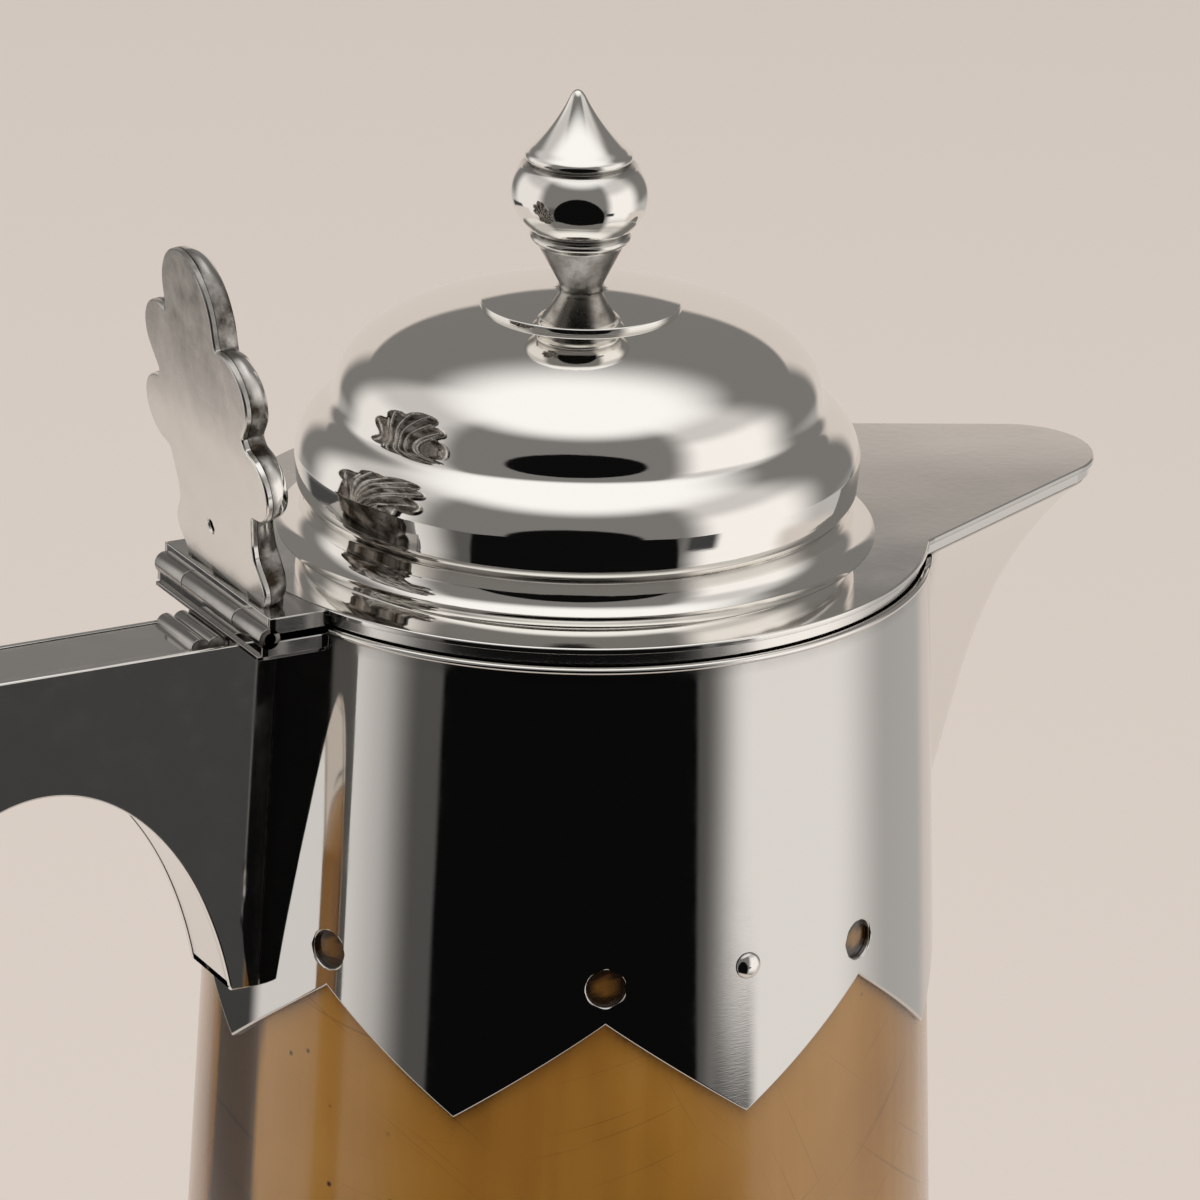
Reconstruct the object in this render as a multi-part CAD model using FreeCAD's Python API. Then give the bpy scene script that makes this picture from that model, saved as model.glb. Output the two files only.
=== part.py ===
import FreeCAD, Part
import math
import os

V = FreeCAD.Vector
os.makedirs("parts", exist_ok=True)

# All lengths are millimetres, z = 0 is the foot, +X is the spout and -X the handle.

# Horn body, a straight cone that widens to the foot
rim_height = 190.0
horn_top_radius = 39.8
horn_slope = 0.049
horn_wall = 4.5
horn_bottom = 2.2
plug_bottom = 3.0
plug_thickness = 6.0

# Sheet silver mounts sprung over the horn
sheet = 0.7
mount_gap = 0.05
tooth_count = 8
tooth_blunt = 0.6
collar_tip_depth = 53.8
collar_notch_depth = 41.7
collar_hole_depth = 37.4
collar_hole_radius = 2.2
rim_wire_radius = 0.4
lining_depth = 10.0
lining_sheet = 0.6

# Foot mount
foot_tip_height = 57.0
foot_notch_height = 45.0
foot_hole_height = 40.6
foot_ring_height = 4.0
foot_overhang = 2.94
foot_edge_height = 1.3
foot_lip_width = 6.1
base_plate_sheet = 0.8

# Rivets that pin each mount to the horn
rivet_shank_radius = 0.8
rivet_head_radius = 1.55
rivet_head_height = 0.75
rivet_depth = 3.0
collar_rivet_depth = 36.3
foot_rivet_height = 41.5
rivet_angles = (90.0, 270.0)

# Spout, a keeled trough with a rounded nose
spout_half_angle = 25.2
spout_wall = 0.8
keel_lip = (68.8, 1.0)
keel_upper_pull = (47.0, -13.0)
keel_lower_pull = (54.5, -36.0)
keel_root = (41.5, -50.0)
nose_root_radius = 3.0
nose_gain = 6.6
nose_fall = 2.2
spout_sections = 9
spout_back = 26.0
pour_half_width = 8.0
pour_depth = 22.0

# Handle, a hollow box of two side plates and two strips
handle_half_width = 5.4
handle_sheet = 0.8
handle_proud = 0.3
handle_top_depth = 3.6
handle_bottom = 20.0
handle_outer = 106.5
handle_corner = 14.0
arch_centre_x = 68.84
arch_half_width = 24.02
arch_top_depth = 56.8
arch_top_rise = 38.81
arch_low_centre = 66.0
arch_low_drop = 32.0
handle_end_depth = 45.5
handle_end_reach = 58.0
handle_root = 30.0

# Reeded moulding between the handle top and the hinge
reed_radius = 1.1
reed_near = 47.5
reed_far = 49.5

# Lid hinge
hinge_x = -45.33
hinge_depth = 0.19
hinge_half_length = 13.6
hinge_rear = 46.2
knuckle_radius = 1.3
knuckle_half_length = 6.5
knuckle_end_gap = 0.06
knuckle_clearance = 0.15
pin_radius = 0.7
pin_fit = 0.05
pin_seat = 0.02
lower_leaf_top_depth = 0.55
lower_leaf_depth = 2.2
upper_leaf_lift = 0.35
sole_thickness = 0.5
sole_rear = 46.6
sole_half_length = 13.2
hinge_reach = 34.0

# Lid plate with its spout flap, and the recessed band under its edge
seat_gap = 0.25
lid_radius = 40.5
lid_lift = 2.2
lid_sheet = 0.7
lid_hole_radius = 29.5
flap_corner_x = 33.7
flap_tip_reach = 68.4
flap_tip_radius = 9.6
band_recess = 0.5
band_width = 1.6
bezel_clearance = 0.5
bezel_sheet = 0.7
bezel_depth = 4.0

# Stepped dome, each pair a radius and a height above the lid plate
dome_sheet = 0.8
dome_foot_radius = 33.0
dome_foot_edge = 0.2
cove_mid = (31.62, 0.95)
cove_top = (31.05, 2.7)
tier_base = (31.1, 4.3)
tier_side = (31.95, 7.2)
tier_edge = (32.2, 9.3)
tier_shoulder = (30.5, 12.9)
tier_top = (27.9, 14.7)
cap_side = (27.68, 15.45)
cap_radius = 27.6
cap_lift = 16.2
cap_rise = 10.9

# Finial, each pair a radius and a height above the lid plate
disc_radius = 11.5
disc_sheet = 0.7
disc_rise = 1.3
disc_lift = 26.15
stud_radius = 1.5
stud_fit = 0.05
stud_top_lift = 32.8
stud_bottom_lift = 18.8
knob_socket_lift = 33.1
knob_waist = (2.5, 28.7)
knob_cone_top = (4.95, 33.4)
knob_collar_low = (5.5, 34.1)
knob_collar_high = (5.65, 34.7)
bulb_low = (5.72, 34.9)
bulb_side = (7.87, 39.3)
bulb_high = (6.2, 43.2)
onion_groove = (5.7, 43.5)
onion_edge_low = (5.95, 43.8)
onion_edge = (6.02, 44.2)
onion_edge_high = (5.75, 44.6)
onion_flank = (3.3, 47.3)
onion_neck = (0.75, 50.8)
onion_tip_side = (0.4, 51.2)
onion_tip_lift = 51.3
washer_radius = 5.0
washer_thickness = 0.8
washer_lift = 26.05
nut_across_flats = 6.0
nut_height = 2.5

# Thumbpiece, a hollow palmette of a back plate and a stamped front
thumb_base_x = -44.22
thumb_lean = 8.2
thumb_back_sheet = 0.8
thumb_front_depth = 2.4
thumb_front_wall = 0.7
thumb_edge_round = 0.9
thumb_pocket_inset = 1.0
crown_height = 34.6
crown_half_width = 6.1
crown_half_height = 6.9
upper_lobe = (7.8, 27.8)
upper_lobe_radius = 4.6
lower_lobe = (11.0, 18.2)
lower_lobe_radius = 4.0
foot_lobe = (8.4, 5.0)
foot_lobe_radius = 2.6
thumb_base = (9.4, 1.0)
thumb_waist = (9.2, 10.0)
thumb_hip = (10.2, 14.5)
thumb_notch_low = (10.8, 22.4)
thumb_notch_high = (5.7, 31.8)
rib_root_height = 8.0
rib_root_radius = 1.6
rib_tip_radius = 0.7
rib_ends = ((0.0, 38.6), (4.6, 31.6), (9.8, 28.8), (8.6, 22.6), (12.4, 18.6))
vent_radius = 0.7
vent_height = 8.0
vent_offset = 1.5

# Heights and radii that follow the rim, the lid plate and the horn
handle_top = rim_height - handle_top_depth
arch_top_centre = rim_height - arch_top_depth
handle_end_height = rim_height - handle_end_depth
hinge_z = rim_height - hinge_depth
lower_leaf_top = rim_height - lower_leaf_top_depth
lower_leaf_bottom = rim_height - lower_leaf_depth
upper_leaf_bottom = rim_height + upper_leaf_lift
lid_top = rim_height + lid_lift
cap_level = lid_top + cap_lift
disc_seat = lid_top + disc_lift
stud_top = lid_top + stud_top_lift
stud_bottom = lid_top + stud_bottom_lift
knob_socket = lid_top + knob_socket_lift
onion_tip = lid_top + onion_tip_lift
washer_top = lid_top + washer_lift
foot_band_radius = horn_top_radius + horn_slope * (rim_height - foot_ring_height) + mount_gap + sheet
foot_ring_radius = foot_band_radius + foot_overhang
foot_lip_radius = foot_ring_radius - foot_lip_width

FULL_TURN = 360.0
MARGIN = 5.0
Z_AXIS = V(0, 0, 1)
ORIGIN = V(0, 0, 0)


def body_radius(z, offset):
    return horn_top_radius + horn_slope * (rim_height - z) + offset


def mount_radius(z):
    return body_radius(z, mount_gap + sheet)


def line(a, b):
    return Part.makeLine(V(a[0], 0, a[1]), V(b[0], 0, b[1]))


def arc(a, b, c):
    return Part.Arc(V(a[0], 0, a[1]), V(b[0], 0, b[1]), V(c[0], 0, c[1])).toShape()


def chain(points):
    return [line(a, b) for a, b in zip(points[:-1], points[1:])]


def turned(edges):
    face = Part.Face(Part.Wire(Part.__sortEdges__(edges)))
    return face.revolve(ORIGIN, Z_AXIS, FULL_TURN)


def turned_polygon(points):
    return turned(chain(list(points) + [points[0]]))


def prism_y(face, low, high):
    moved = face.copy()
    moved.translate(V(0, low, 0))
    return moved.extrude(V(0, high - low, 0))


def face_xz(points):
    corners = [V(x, 0, z) for x, z in points]
    return Part.Face(Part.makePolygon(corners + [corners[0]]))


def face_xy(points, z):
    corners = [V(x, y, z) for x, y in points]
    return Part.Face(Part.makePolygon(corners + [corners[0]]))


def round_about_z(shape, angle):
    moved = shape.copy()
    moved.rotate(ORIGIN, Z_AXIS, angle)
    return moved


# Solid cone through the outside of the mounts, used to scribe parts to the body
def body_envelope():
    low = (mount_radius(0), 0)
    high = (mount_radius(rim_height), rim_height)
    return turned_polygon([(0, 0), low, high, (0, rim_height)])


def wall(low, high, inner, outer):
    return turned_polygon([
        (body_radius(low, inner), low),
        (body_radius(low, outer), low),
        (body_radius(high, outer), high),
        (body_radius(high, inner), high),
    ])


# Pouring opening, a round-bottomed slot through the wall behind the spout
def pour_cut():
    sill = rim_height - pour_depth + pour_half_width
    slot = Part.makeBox(
        horn_top_radius, 2 * pour_half_width, rim_height - sill + MARGIN,
        V(spout_back, -pour_half_width, sill))
    sole = Part.makeCylinder(pour_half_width, horn_top_radius, V(spout_back, 0, sill), V(1, 0, 0))
    return slot.fuse(sole)


def radial_hole(radius, z, angle, start, length):
    return round_about_z(Part.makeCylinder(radius, length, V(start, 0, z), V(1, 0, 0)), angle)


def rivet_holes(z, radius):
    start = body_radius(z, -rivet_depth)
    holes = [radial_hole(radius, z, a, start, rivet_depth + MARGIN) for a in rivet_angles]
    return holes[0].multiFuse(holes[1:])


# Triangular gaps that leave one row of pointed teeth on a mount
def tooth_gaps(notch, tip):
    pitch = math.radians(FULL_TURN / tooth_count)
    half = mount_radius(tip) * math.sin(pitch / 2) - tooth_blunt / 2
    beyond = tip + math.copysign(MARGIN, tip - notch)
    spread = half * (beyond - notch) / (tip - notch)
    corners = [V(0, 0, notch), V(0, spread, beyond), V(0, -spread, beyond)]
    gap = Part.Face(Part.makePolygon(corners + [corners[0]])).extrude(V(2 * horn_top_radius, 0, 0))
    first = FULL_TURN / tooth_count / 2
    gaps = [round_about_z(gap, first + n * FULL_TURN / tooth_count) for n in range(tooth_count)]
    return gaps


def notch_holes(z):
    first = FULL_TURN / tooth_count / 2
    start = body_radius(z, -MARGIN)
    angles = [first + n * FULL_TURN / tooth_count for n in range(tooth_count)]
    return [radial_hole(collar_hole_radius, z, a, start, 2 * MARGIN) for a in angles]


def horn_body():
    top = rim_height - sheet - mount_gap
    horn = wall(horn_bottom, top, -horn_wall, 0)
    cuts = [
        pour_cut(),
        rivet_holes(rim_height - collar_rivet_depth, rivet_shank_radius + mount_gap),
        rivet_holes(foot_rivet_height, rivet_shank_radius + mount_gap),
    ]
    return horn.cut(cuts)


def base_plug():
    low = plug_bottom
    high = plug_bottom + plug_thickness
    inset = -horn_wall - mount_gap
    bottom = (body_radius(low, inset), low)
    top = (body_radius(high, inset), high)
    return turned_polygon([(0, low), bottom, top, (0, high)])


def collar():
    tip = rim_height - collar_tip_depth
    band = wall(tip, rim_height, mount_gap, mount_gap + sheet)
    cuts = tooth_gaps(rim_height - collar_notch_depth, tip)
    cuts += notch_holes(rim_height - collar_hole_depth)
    cuts += [pour_cut(), rivet_holes(rim_height - collar_rivet_depth, rivet_shank_radius + mount_gap)]
    return band.cut(cuts)


# L-shaped lining that caps the horn's end and runs down inside it
def rim_lining():
    low = rim_height - lining_depth
    under = rim_height - sheet
    outer = -horn_wall - mount_gap
    inner = outer - lining_sheet
    ring = turned_polygon([
        (body_radius(low, inner), low),
        (body_radius(low, outer), low),
        (body_radius(under, outer), under),
        (body_radius(under, 0), under),
        (body_radius(rim_height, 0), rim_height),
        (body_radius(rim_height, inner), rim_height),
    ])
    return ring.cut(pour_cut())


def keel_point(t):
    u = 1 - t
    weights = (u ** 3, 3 * u * u * t, 3 * u * t * t, t ** 3)
    knots = (keel_lip, keel_upper_pull, keel_lower_pull, keel_root)
    x = sum(w * k[0] for w, k in zip(weights, knots))
    z = sum(w * k[1] for w, k in zip(weights, knots))
    return x, z


# One level section of the spout: two straight sides, a round nose and a flat back
def spout_wire(t, inset):
    x, z = keel_point(t)
    angle = math.radians(spout_half_angle)
    radius = nose_root_radius + nose_gain * (1 - t) ** nose_fall
    centre = x - radius
    radius = radius - inset
    side_x = centre + radius * math.sin(angle)
    side_y = radius * math.cos(angle)
    back_y = side_y + (side_x - spout_back) * math.tan(angle)
    level = rim_height + z
    near_back = V(spout_back, -back_y, level)
    far_back = V(spout_back, back_y, level)
    near_side = V(side_x, -side_y, level)
    far_side = V(side_x, side_y, level)
    nose = Part.Arc(near_side, V(centre + radius, 0, level), far_side).toShape()
    edges = [Part.makeLine(near_back, near_side), nose]
    edges += [Part.makeLine(far_side, far_back), Part.makeLine(far_back, near_back)]
    return Part.Wire(edges)


def spout_block(inset):
    steps = [n / (spout_sections - 1) for n in range(spout_sections)]
    return Part.makeLoft([spout_wire(t, inset) for t in steps], True, False)


def spout():
    over = Part.makeBox(2 * rim_height, 2 * rim_height, MARGIN, V(-rim_height, -rim_height, rim_height))
    return spout_block(0).cut([spout_block(spout_wall), body_envelope(), over])


# Half-round wire round the rim, open at the spout and at the hinge
def collar_rim_wire():
    low = rim_height - 2 * rim_wire_radius
    level = rim_height - rim_wire_radius
    foot = (mount_radius(low), low)
    head = (mount_radius(rim_height), rim_height)
    crest = (mount_radius(level) + rim_wire_radius, level)
    bead = turned([line(head, foot), arc(foot, crest, head)])
    return bead.cut(spout_block(0)).cut(hinge_lower_block())


# One domed rivet with its shank, scribed to the mount
def rivet(z, angle):
    seat = mount_radius(z)
    shank = Part.makeCylinder(rivet_shank_radius, seat - body_radius(z, -rivet_depth),
                              V(body_radius(z, -rivet_depth), 0, z), V(1, 0, 0))
    drop = rivet_head_radius ** 2 / (2 * rivet_head_height) - rivet_head_height / 2
    ball = Part.makeSphere(drop + rivet_head_height, V(seat - drop, 0, z))
    head = ball.common(Part.makeCylinder(rivet_head_radius, MARGIN, V(seat - sheet / 2, 0, z), V(1, 0, 0)))
    head = head.cut(body_envelope())
    return round_about_z(head.fuse(shank).removeSplitter(), angle)


def rivet_pair(z):
    return Part.makeCompound([rivet(z, a) for a in rivet_angles])


def foot_band():
    band = wall(foot_ring_height, foot_tip_height, mount_gap, mount_gap + sheet)
    cuts = tooth_gaps(foot_notch_height, foot_tip_height)
    cuts += notch_holes(foot_hole_height)
    cuts.append(rivet_holes(foot_rivet_height, rivet_shank_radius + mount_gap))
    return band.cut(cuts)


# Moulded foot ring with a lip under the horn
def foot_ring():
    top = foot_ring_height
    outside = mount_radius(top)
    inside = body_radius(horn_bottom, mount_gap)
    swell = (outside + (foot_ring_radius - outside) / 4, (top + foot_edge_height) / 2)
    edges = chain([(outside, top), (body_radius(top, mount_gap), top), (inside, horn_bottom)])
    edges += chain([(inside, horn_bottom), (foot_lip_radius, horn_bottom), (foot_lip_radius, 0)])
    edges += chain([(foot_lip_radius, 0), (foot_ring_radius, 0), (foot_ring_radius, foot_edge_height)])
    edges.append(arc((foot_ring_radius, foot_edge_height), swell, (outside, top)))
    return turned(edges)


def base_plate():
    return Part.makeCylinder(foot_lip_radius - mount_gap, base_plate_sheet)


# Outer side view of the handle, rounded at its two far corners
def handle_outline(inset):
    far = -handle_outer + inset
    top = handle_top - inset
    low = handle_bottom + inset
    radius = handle_corner - inset
    diagonal = radius * (1 - math.sqrt(0.5))
    root = -handle_root + inset
    edges = chain([(root, low), (root, top), (far + radius, top)])
    edges.append(arc((far + radius, top), (far + diagonal, top - diagonal), (far, top - radius)))
    edges.append(line((far, top - radius), (far, low + radius)))
    edges.append(arc((far, low + radius), (far + diagonal, low + diagonal), (far + radius, low)))
    edges.append(line((far + radius, low), (root, low)))
    return Part.Face(Part.Wire(edges))


def half_ellipse(half_width, height, level, sign):
    centre = V(-arch_centre_x, 0, level)
    crown = V(-arch_centre_x, 0, level + sign * height)
    side = V(-arch_centre_x + half_width, 0, level)
    if height > half_width:
        curve = Part.Ellipse(crown, side, centre)
    else:
        curve = Part.Ellipse(side, crown, centre)
    start = V(-arch_centre_x - half_width, 0, level)
    first = curve.parameter(crown)
    quarter = math.pi / 2
    return Part.Arc(curve, first - quarter, first + quarter).toShape(), start, side


# Finger opening, two elliptical arches joined by straight sides, grown outward for strip thickness
def handle_opening(grow, low, high):
    half = arch_half_width + grow
    upper, start, side = half_ellipse(half, arch_top_rise + grow, arch_top_centre, 1)
    lower, low_start, low_side = half_ellipse(half, arch_low_drop + grow, arch_low_centre, -1)
    sides = [Part.makeLine(start, low_start), Part.makeLine(side, low_side)]
    slot = Part.Face(Part.Wire(Part.__sortEdges__([upper, lower] + sides)))
    end = face_xz([
        (-handle_end_reach, arch_low_centre),
        (-handle_root, arch_low_centre),
        (-handle_root, handle_end_height + grow),
        (-handle_end_reach, handle_end_height + grow),
    ])
    return prism_y(slot, low, high).fuse(prism_y(end, low, high))


def handle_side(sign):
    inner = handle_half_width - handle_sheet
    low, high = sorted((sign * inner, sign * handle_half_width))
    plate = prism_y(handle_outline(0), low, high)
    hole = handle_opening(0, low - MARGIN, high + MARGIN)
    return plate.cut([hole, body_envelope()])


def handle_back_strip():
    inner = handle_half_width - handle_sheet
    outer = prism_y(handle_outline(handle_proud), -inner, inner)
    core = prism_y(handle_outline(handle_proud + handle_sheet), -inner - MARGIN, inner + MARGIN)
    return outer.cut(core).cut(body_envelope())


def handle_grip_strip():
    inner = handle_half_width - handle_sheet
    outer = handle_opening(handle_proud + handle_sheet, -inner, inner)
    core = handle_opening(handle_proud, -inner - MARGIN, inner + MARGIN)
    return outer.cut(core).cut(body_envelope())


# Filler and two half-round reeds that carry the hinge on the handle top
def handle_moulding():
    inner = handle_half_width - handle_sheet
    low = handle_top - handle_proud
    high = lower_leaf_bottom - sole_thickness
    filler = Part.makeBox(sole_rear - hinge_reach, 2 * inner, high - low, V(-sole_rear, -inner, low))
    above = Part.makeBox(rim_height, rim_height, MARGIN, V(-rim_height, -rim_height / 2, low))
    reeds = []
    for x in (reed_near, reed_far):
        rod = Part.makeCylinder(reed_radius, 2 * inner, V(-x, -inner, low), V(0, 1, 0))
        reeds.append(rod.common(above))
    return filler.multiFuse(reeds).removeSplitter().cut(body_envelope())


def hinge_sole_plate():
    top = lower_leaf_bottom
    plate = Part.makeBox(sole_rear - hinge_reach, 2 * sole_half_length, sole_thickness,
                         V(-sole_rear, -sole_half_length, top - sole_thickness))
    return plate.cut(body_envelope())


def hinge_lower_block():
    return Part.makeBox(hinge_rear - hinge_reach, 2 * hinge_half_length, lower_leaf_top - lower_leaf_bottom,
                        V(-hinge_rear, -hinge_half_length, lower_leaf_bottom))


def hinge_rod(radius, low, high):
    return Part.makeCylinder(radius, high - low, V(hinge_x, low, hinge_z), V(0, 1, 0))


# Fixed leaf with the two outer knuckles
def hinge_lower_leaf():
    start = knuckle_half_length + knuckle_end_gap
    end = hinge_half_length
    leaf = hinge_lower_block().cut(body_envelope())
    room = hinge_rod(knuckle_radius + knuckle_clearance, -start, start)
    knuckles = [hinge_rod(knuckle_radius, start, end), hinge_rod(knuckle_radius, -end, -start)]
    leaf = leaf.cut(room).multiFuse(knuckles).removeSplitter()
    return leaf.cut(hinge_rod(pin_radius + pin_seat, -end, end))


def hinge_pin():
    return hinge_rod(pin_radius, -hinge_half_length, hinge_half_length)


# Moving leaf with the middle knuckle, butted to the lid edge
def hinge_upper_leaf():
    end = hinge_half_length
    leaf = Part.makeBox(-hinge_x - hinge_reach, 2 * end, lid_top - upper_leaf_bottom,
                        V(hinge_x, -end, upper_leaf_bottom))
    leaf = leaf.cut(lid_disc(lid_radius, lid_sheet, lid_top))
    leaf = leaf.cut(lid_disc(lid_radius - band_recess, MARGIN, lid_top))
    reach = knuckle_radius + knuckle_clearance
    rooms = [hinge_rod(reach, knuckle_half_length, end), hinge_rod(reach, -end, -knuckle_half_length)]
    leaf = leaf.cut(rooms).fuse(hinge_rod(knuckle_radius, -knuckle_half_length, knuckle_half_length))
    return leaf.removeSplitter().cut(hinge_rod(pin_radius + pin_fit, -end, end))


def lid_disc(radius, depth, top):
    return Part.makeCylinder(radius, depth, V(0, 0, top - depth))


# Flap over the spout in plan, straight sides closing on a round tip
def flap_face(inset, z):
    angle = math.radians(spout_half_angle)
    radius = flap_tip_radius - inset
    centre = flap_tip_reach - flap_tip_radius
    side_x = centre + radius * math.sin(angle)
    side_y = radius * math.cos(angle)
    back_y = side_y + (side_x - flap_corner_x) * math.tan(angle)
    near_side = V(side_x, -side_y, z)
    far_side = V(side_x, side_y, z)
    nose = Part.Arc(near_side, V(centre + radius, 0, z), far_side).toShape()
    corners = [far_side, V(flap_corner_x, back_y, z), V(0, back_y, z)]
    corners += [V(0, -back_y, z), V(flap_corner_x, -back_y, z), near_side]
    edges = [Part.makeLine(a, b) for a, b in zip(corners[:-1], corners[1:])]
    return Part.Face(Part.Wire([nose] + edges))


def lid_slab(inset, low, high):
    disc = lid_disc(lid_radius - inset, high - low, high)
    tongue = flap_face(inset, low).extrude(V(0, 0, high - low))
    return disc.fuse(tongue).removeSplitter()


def lid_plate():
    hole = lid_disc(lid_hole_radius, 2 * lid_sheet, lid_top + lid_sheet / 2)
    return lid_slab(0, lid_top - lid_sheet, lid_top).cut(hole)


def lid_edge_band():
    low = rim_height + seat_gap
    high = lid_top - lid_sheet
    inner = lid_slab(band_recess + band_width, low - MARGIN, high + MARGIN)
    return lid_slab(band_recess, low, high).cut(inner)


# Ring under the lid that drops inside the lining
def lid_bezel():
    outer = body_radius(rim_height, -horn_wall - mount_gap - lining_sheet - bezel_clearance)
    low = rim_height - bezel_depth
    height = lid_top - lid_sheet - low
    ring = Part.makeCylinder(outer, height, V(0, 0, low))
    return ring.cut(Part.makeCylinder(outer - bezel_sheet, height, V(0, 0, low)))


def quarter_ellipse(radius, rise, level):
    curve = Part.Ellipse(V(radius, 0, level), V(0, 0, level + rise), V(0, 0, level))
    start = curve.parameter(V(radius, 0, level))
    end = curve.parameter(V(0, 0, level + rise))
    return Part.Arc(curve, start, end).toShape()


# Radius and height above the lid plate turned into radius and height
def on_lid(point):
    return point[0], lid_top + point[1]


# Stepped dome: cove, groove, bulged lower tier, valley and the elliptical cap
def lid_dome():
    foot = (dome_foot_radius, lid_top)
    edge = (dome_foot_radius, lid_top + dome_foot_edge)
    cap = (cap_radius, cap_level)
    outside = [line(foot, edge), arc(edge, on_lid(cove_mid), on_lid(cove_top))]
    outside += [line(on_lid(cove_top), on_lid(tier_base))]
    outside += [arc(on_lid(tier_base), on_lid(tier_side), on_lid(tier_edge))]
    outside += [arc(on_lid(tier_edge), on_lid(tier_shoulder), on_lid(tier_top))]
    outside += [arc(on_lid(tier_top), on_lid(cap_side), cap)]
    outside += [quarter_ellipse(cap_radius, cap_rise, cap_level)]
    axis = [line((0, cap_level + cap_rise), (0, lid_top)), line((0, lid_top), foot)]
    shell = turned(outside + axis)
    shell = shell.cut(dome_hollow())
    bore = Part.makeCylinder(stud_radius + stud_fit, 2 * MARGIN, V(0, 0, cap_level + cap_rise - MARGIN))
    return shell.cut(bore)


def inward(point):
    return point[0] - dome_sheet, lid_top + point[1]


def dome_hollow():
    throat = (cove_top[0] - dome_sheet, lid_top)
    ledge = inward(tier_base)
    shoulder = (tier_shoulder[0] - dome_sheet, lid_top + tier_shoulder[1] - dome_sheet)
    top = (tier_top[0] - dome_sheet, lid_top + tier_top[1] - dome_sheet)
    cap = (cap_radius - 2 * dome_sheet, cap_level)
    edges = [line(throat, (throat[0], ledge[1])), line((throat[0], ledge[1]), ledge)]
    edges += [arc(ledge, inward(tier_side), inward(tier_edge))]
    edges += [arc(inward(tier_edge), shoulder, top), line(top, cap)]
    edges.append(quarter_ellipse(cap[0], cap_rise - dome_sheet, cap_level))
    edges += [line((0, cap_level + cap_rise - dome_sheet), (0, lid_top)), line((0, lid_top), throat)]
    return turned(edges)


# Domed washer under the finial, one spherical sheet
def finial_disc():
    sphere = (disc_radius ** 2 + disc_rise ** 2) / (2 * disc_rise)

    def on_sphere(r, base):
        return r, base + math.sqrt(sphere ** 2 - r ** 2) - (sphere - disc_rise)

    hole = stud_radius + stud_fit
    half = disc_radius / 2
    high = disc_seat + disc_sheet
    top = arc(on_sphere(hole, high), on_sphere(half, high), on_sphere(disc_radius, high))
    low = arc(on_sphere(disc_radius, disc_seat), on_sphere(half, disc_seat), on_sphere(hole, disc_seat))
    rim = line(on_sphere(disc_radius, high), on_sphere(disc_radius, disc_seat))
    bore = line(on_sphere(hole, disc_seat), on_sphere(hole, high))
    return turned([top, rim, low, bore])


def knob_foot():
    return disc_seat + disc_sheet + disc_rise


def finial_knob():
    foot = [(knob_waist[0], knob_foot())]
    stem = [on_lid(p) for p in (knob_waist, knob_cone_top, knob_collar_low, knob_collar_high, bulb_low)]
    lip = [on_lid(p) for p in (bulb_high, onion_groove, onion_edge_low)]
    tip = [on_lid(p) for p in (onion_neck, onion_tip_side)]
    edges = chain([(0, knob_foot())] + foot + stem)
    edges += [arc(stem[-1], on_lid(bulb_side), lip[0])] + chain(lip)
    edges += [arc(lip[-1], on_lid(onion_edge), on_lid(onion_edge_high))]
    edges += [arc(on_lid(onion_edge_high), on_lid(onion_flank), tip[0])]
    edges += chain(tip + [(0, onion_tip), (0, knob_foot())])
    knob = turned(edges)
    socket = Part.makeCylinder(stud_radius + stud_fit, knob_socket - knob_foot(), V(0, 0, knob_foot()))
    return knob.cut(socket)


def finial_stud():
    return Part.makeCylinder(stud_radius, stud_top - stud_bottom, V(0, 0, stud_bottom))


def finial_washer():
    level = washer_top - washer_thickness
    plate = Part.makeCylinder(washer_radius, washer_thickness, V(0, 0, level))
    return plate.cut(Part.makeCylinder(stud_radius + stud_fit, washer_thickness, V(0, 0, level)))


def finial_nut():
    top = washer_top - washer_thickness
    corner = nut_across_flats / math.sqrt(3)
    turns = [math.radians(n * FULL_TURN / 6) for n in range(6)]
    hexagon = face_xy([(corner * math.cos(a), corner * math.sin(a)) for a in turns], top - nut_height)
    nut = hexagon.extrude(V(0, 0, nut_height))
    return nut.cut(Part.makeCylinder(stud_radius + stud_fit, nut_height, V(0, 0, top - nut_height)))


# Palmette outline drawn flat, width along Y and height along Z, extruded along X
def palmette(inset, start, depth):
    def lobe(centre, radius, sign):
        place = V(start, sign * centre[0], centre[1])
        return Part.makeCylinder(radius - inset, depth, place, V(1, 0, 0))

    right = [thumb_base, thumb_waist, thumb_hip, thumb_notch_low, thumb_notch_high]
    right = [(y - inset, z) for y, z in right]
    corners = [V(start, y, z) for y, z in right]
    corners += [V(start, -y, z) for y, z in reversed(right)]
    core = Part.Face(Part.makePolygon(corners + [corners[0]])).extrude(V(depth, 0, 0))
    oval = Part.Ellipse(V(start, 0, crown_height + crown_half_height - inset),
                        V(start, crown_half_width - inset, crown_height), V(start, 0, crown_height))
    crown = Part.Face(Part.Wire([oval.toShape()])).extrude(V(depth, 0, 0))
    lobes = [crown]
    for sign in (1, -1):
        lobes.append(lobe(upper_lobe, upper_lobe_radius, sign))
        lobes.append(lobe(lower_lobe, lower_lobe_radius, sign))
        lobes.append(lobe(foot_lobe, foot_lobe_radius, sign))
    return core.multiFuse(lobes).removeSplitter()


# Lean a flat palmette back over the handle and trim it to the lid top
def leaned(shape):
    moved = shape.copy()
    moved.rotate(ORIGIN, V(0, 1, 0), -thumb_lean)
    moved.translate(V(thumb_base_x, 0, rim_height))
    corner = V(-rim_height, -rim_height / 2, lid_top - 2 * MARGIN)
    below = Part.makeBox(rim_height, rim_height, 2 * MARGIN, corner)
    return moved.cut(below)


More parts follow.
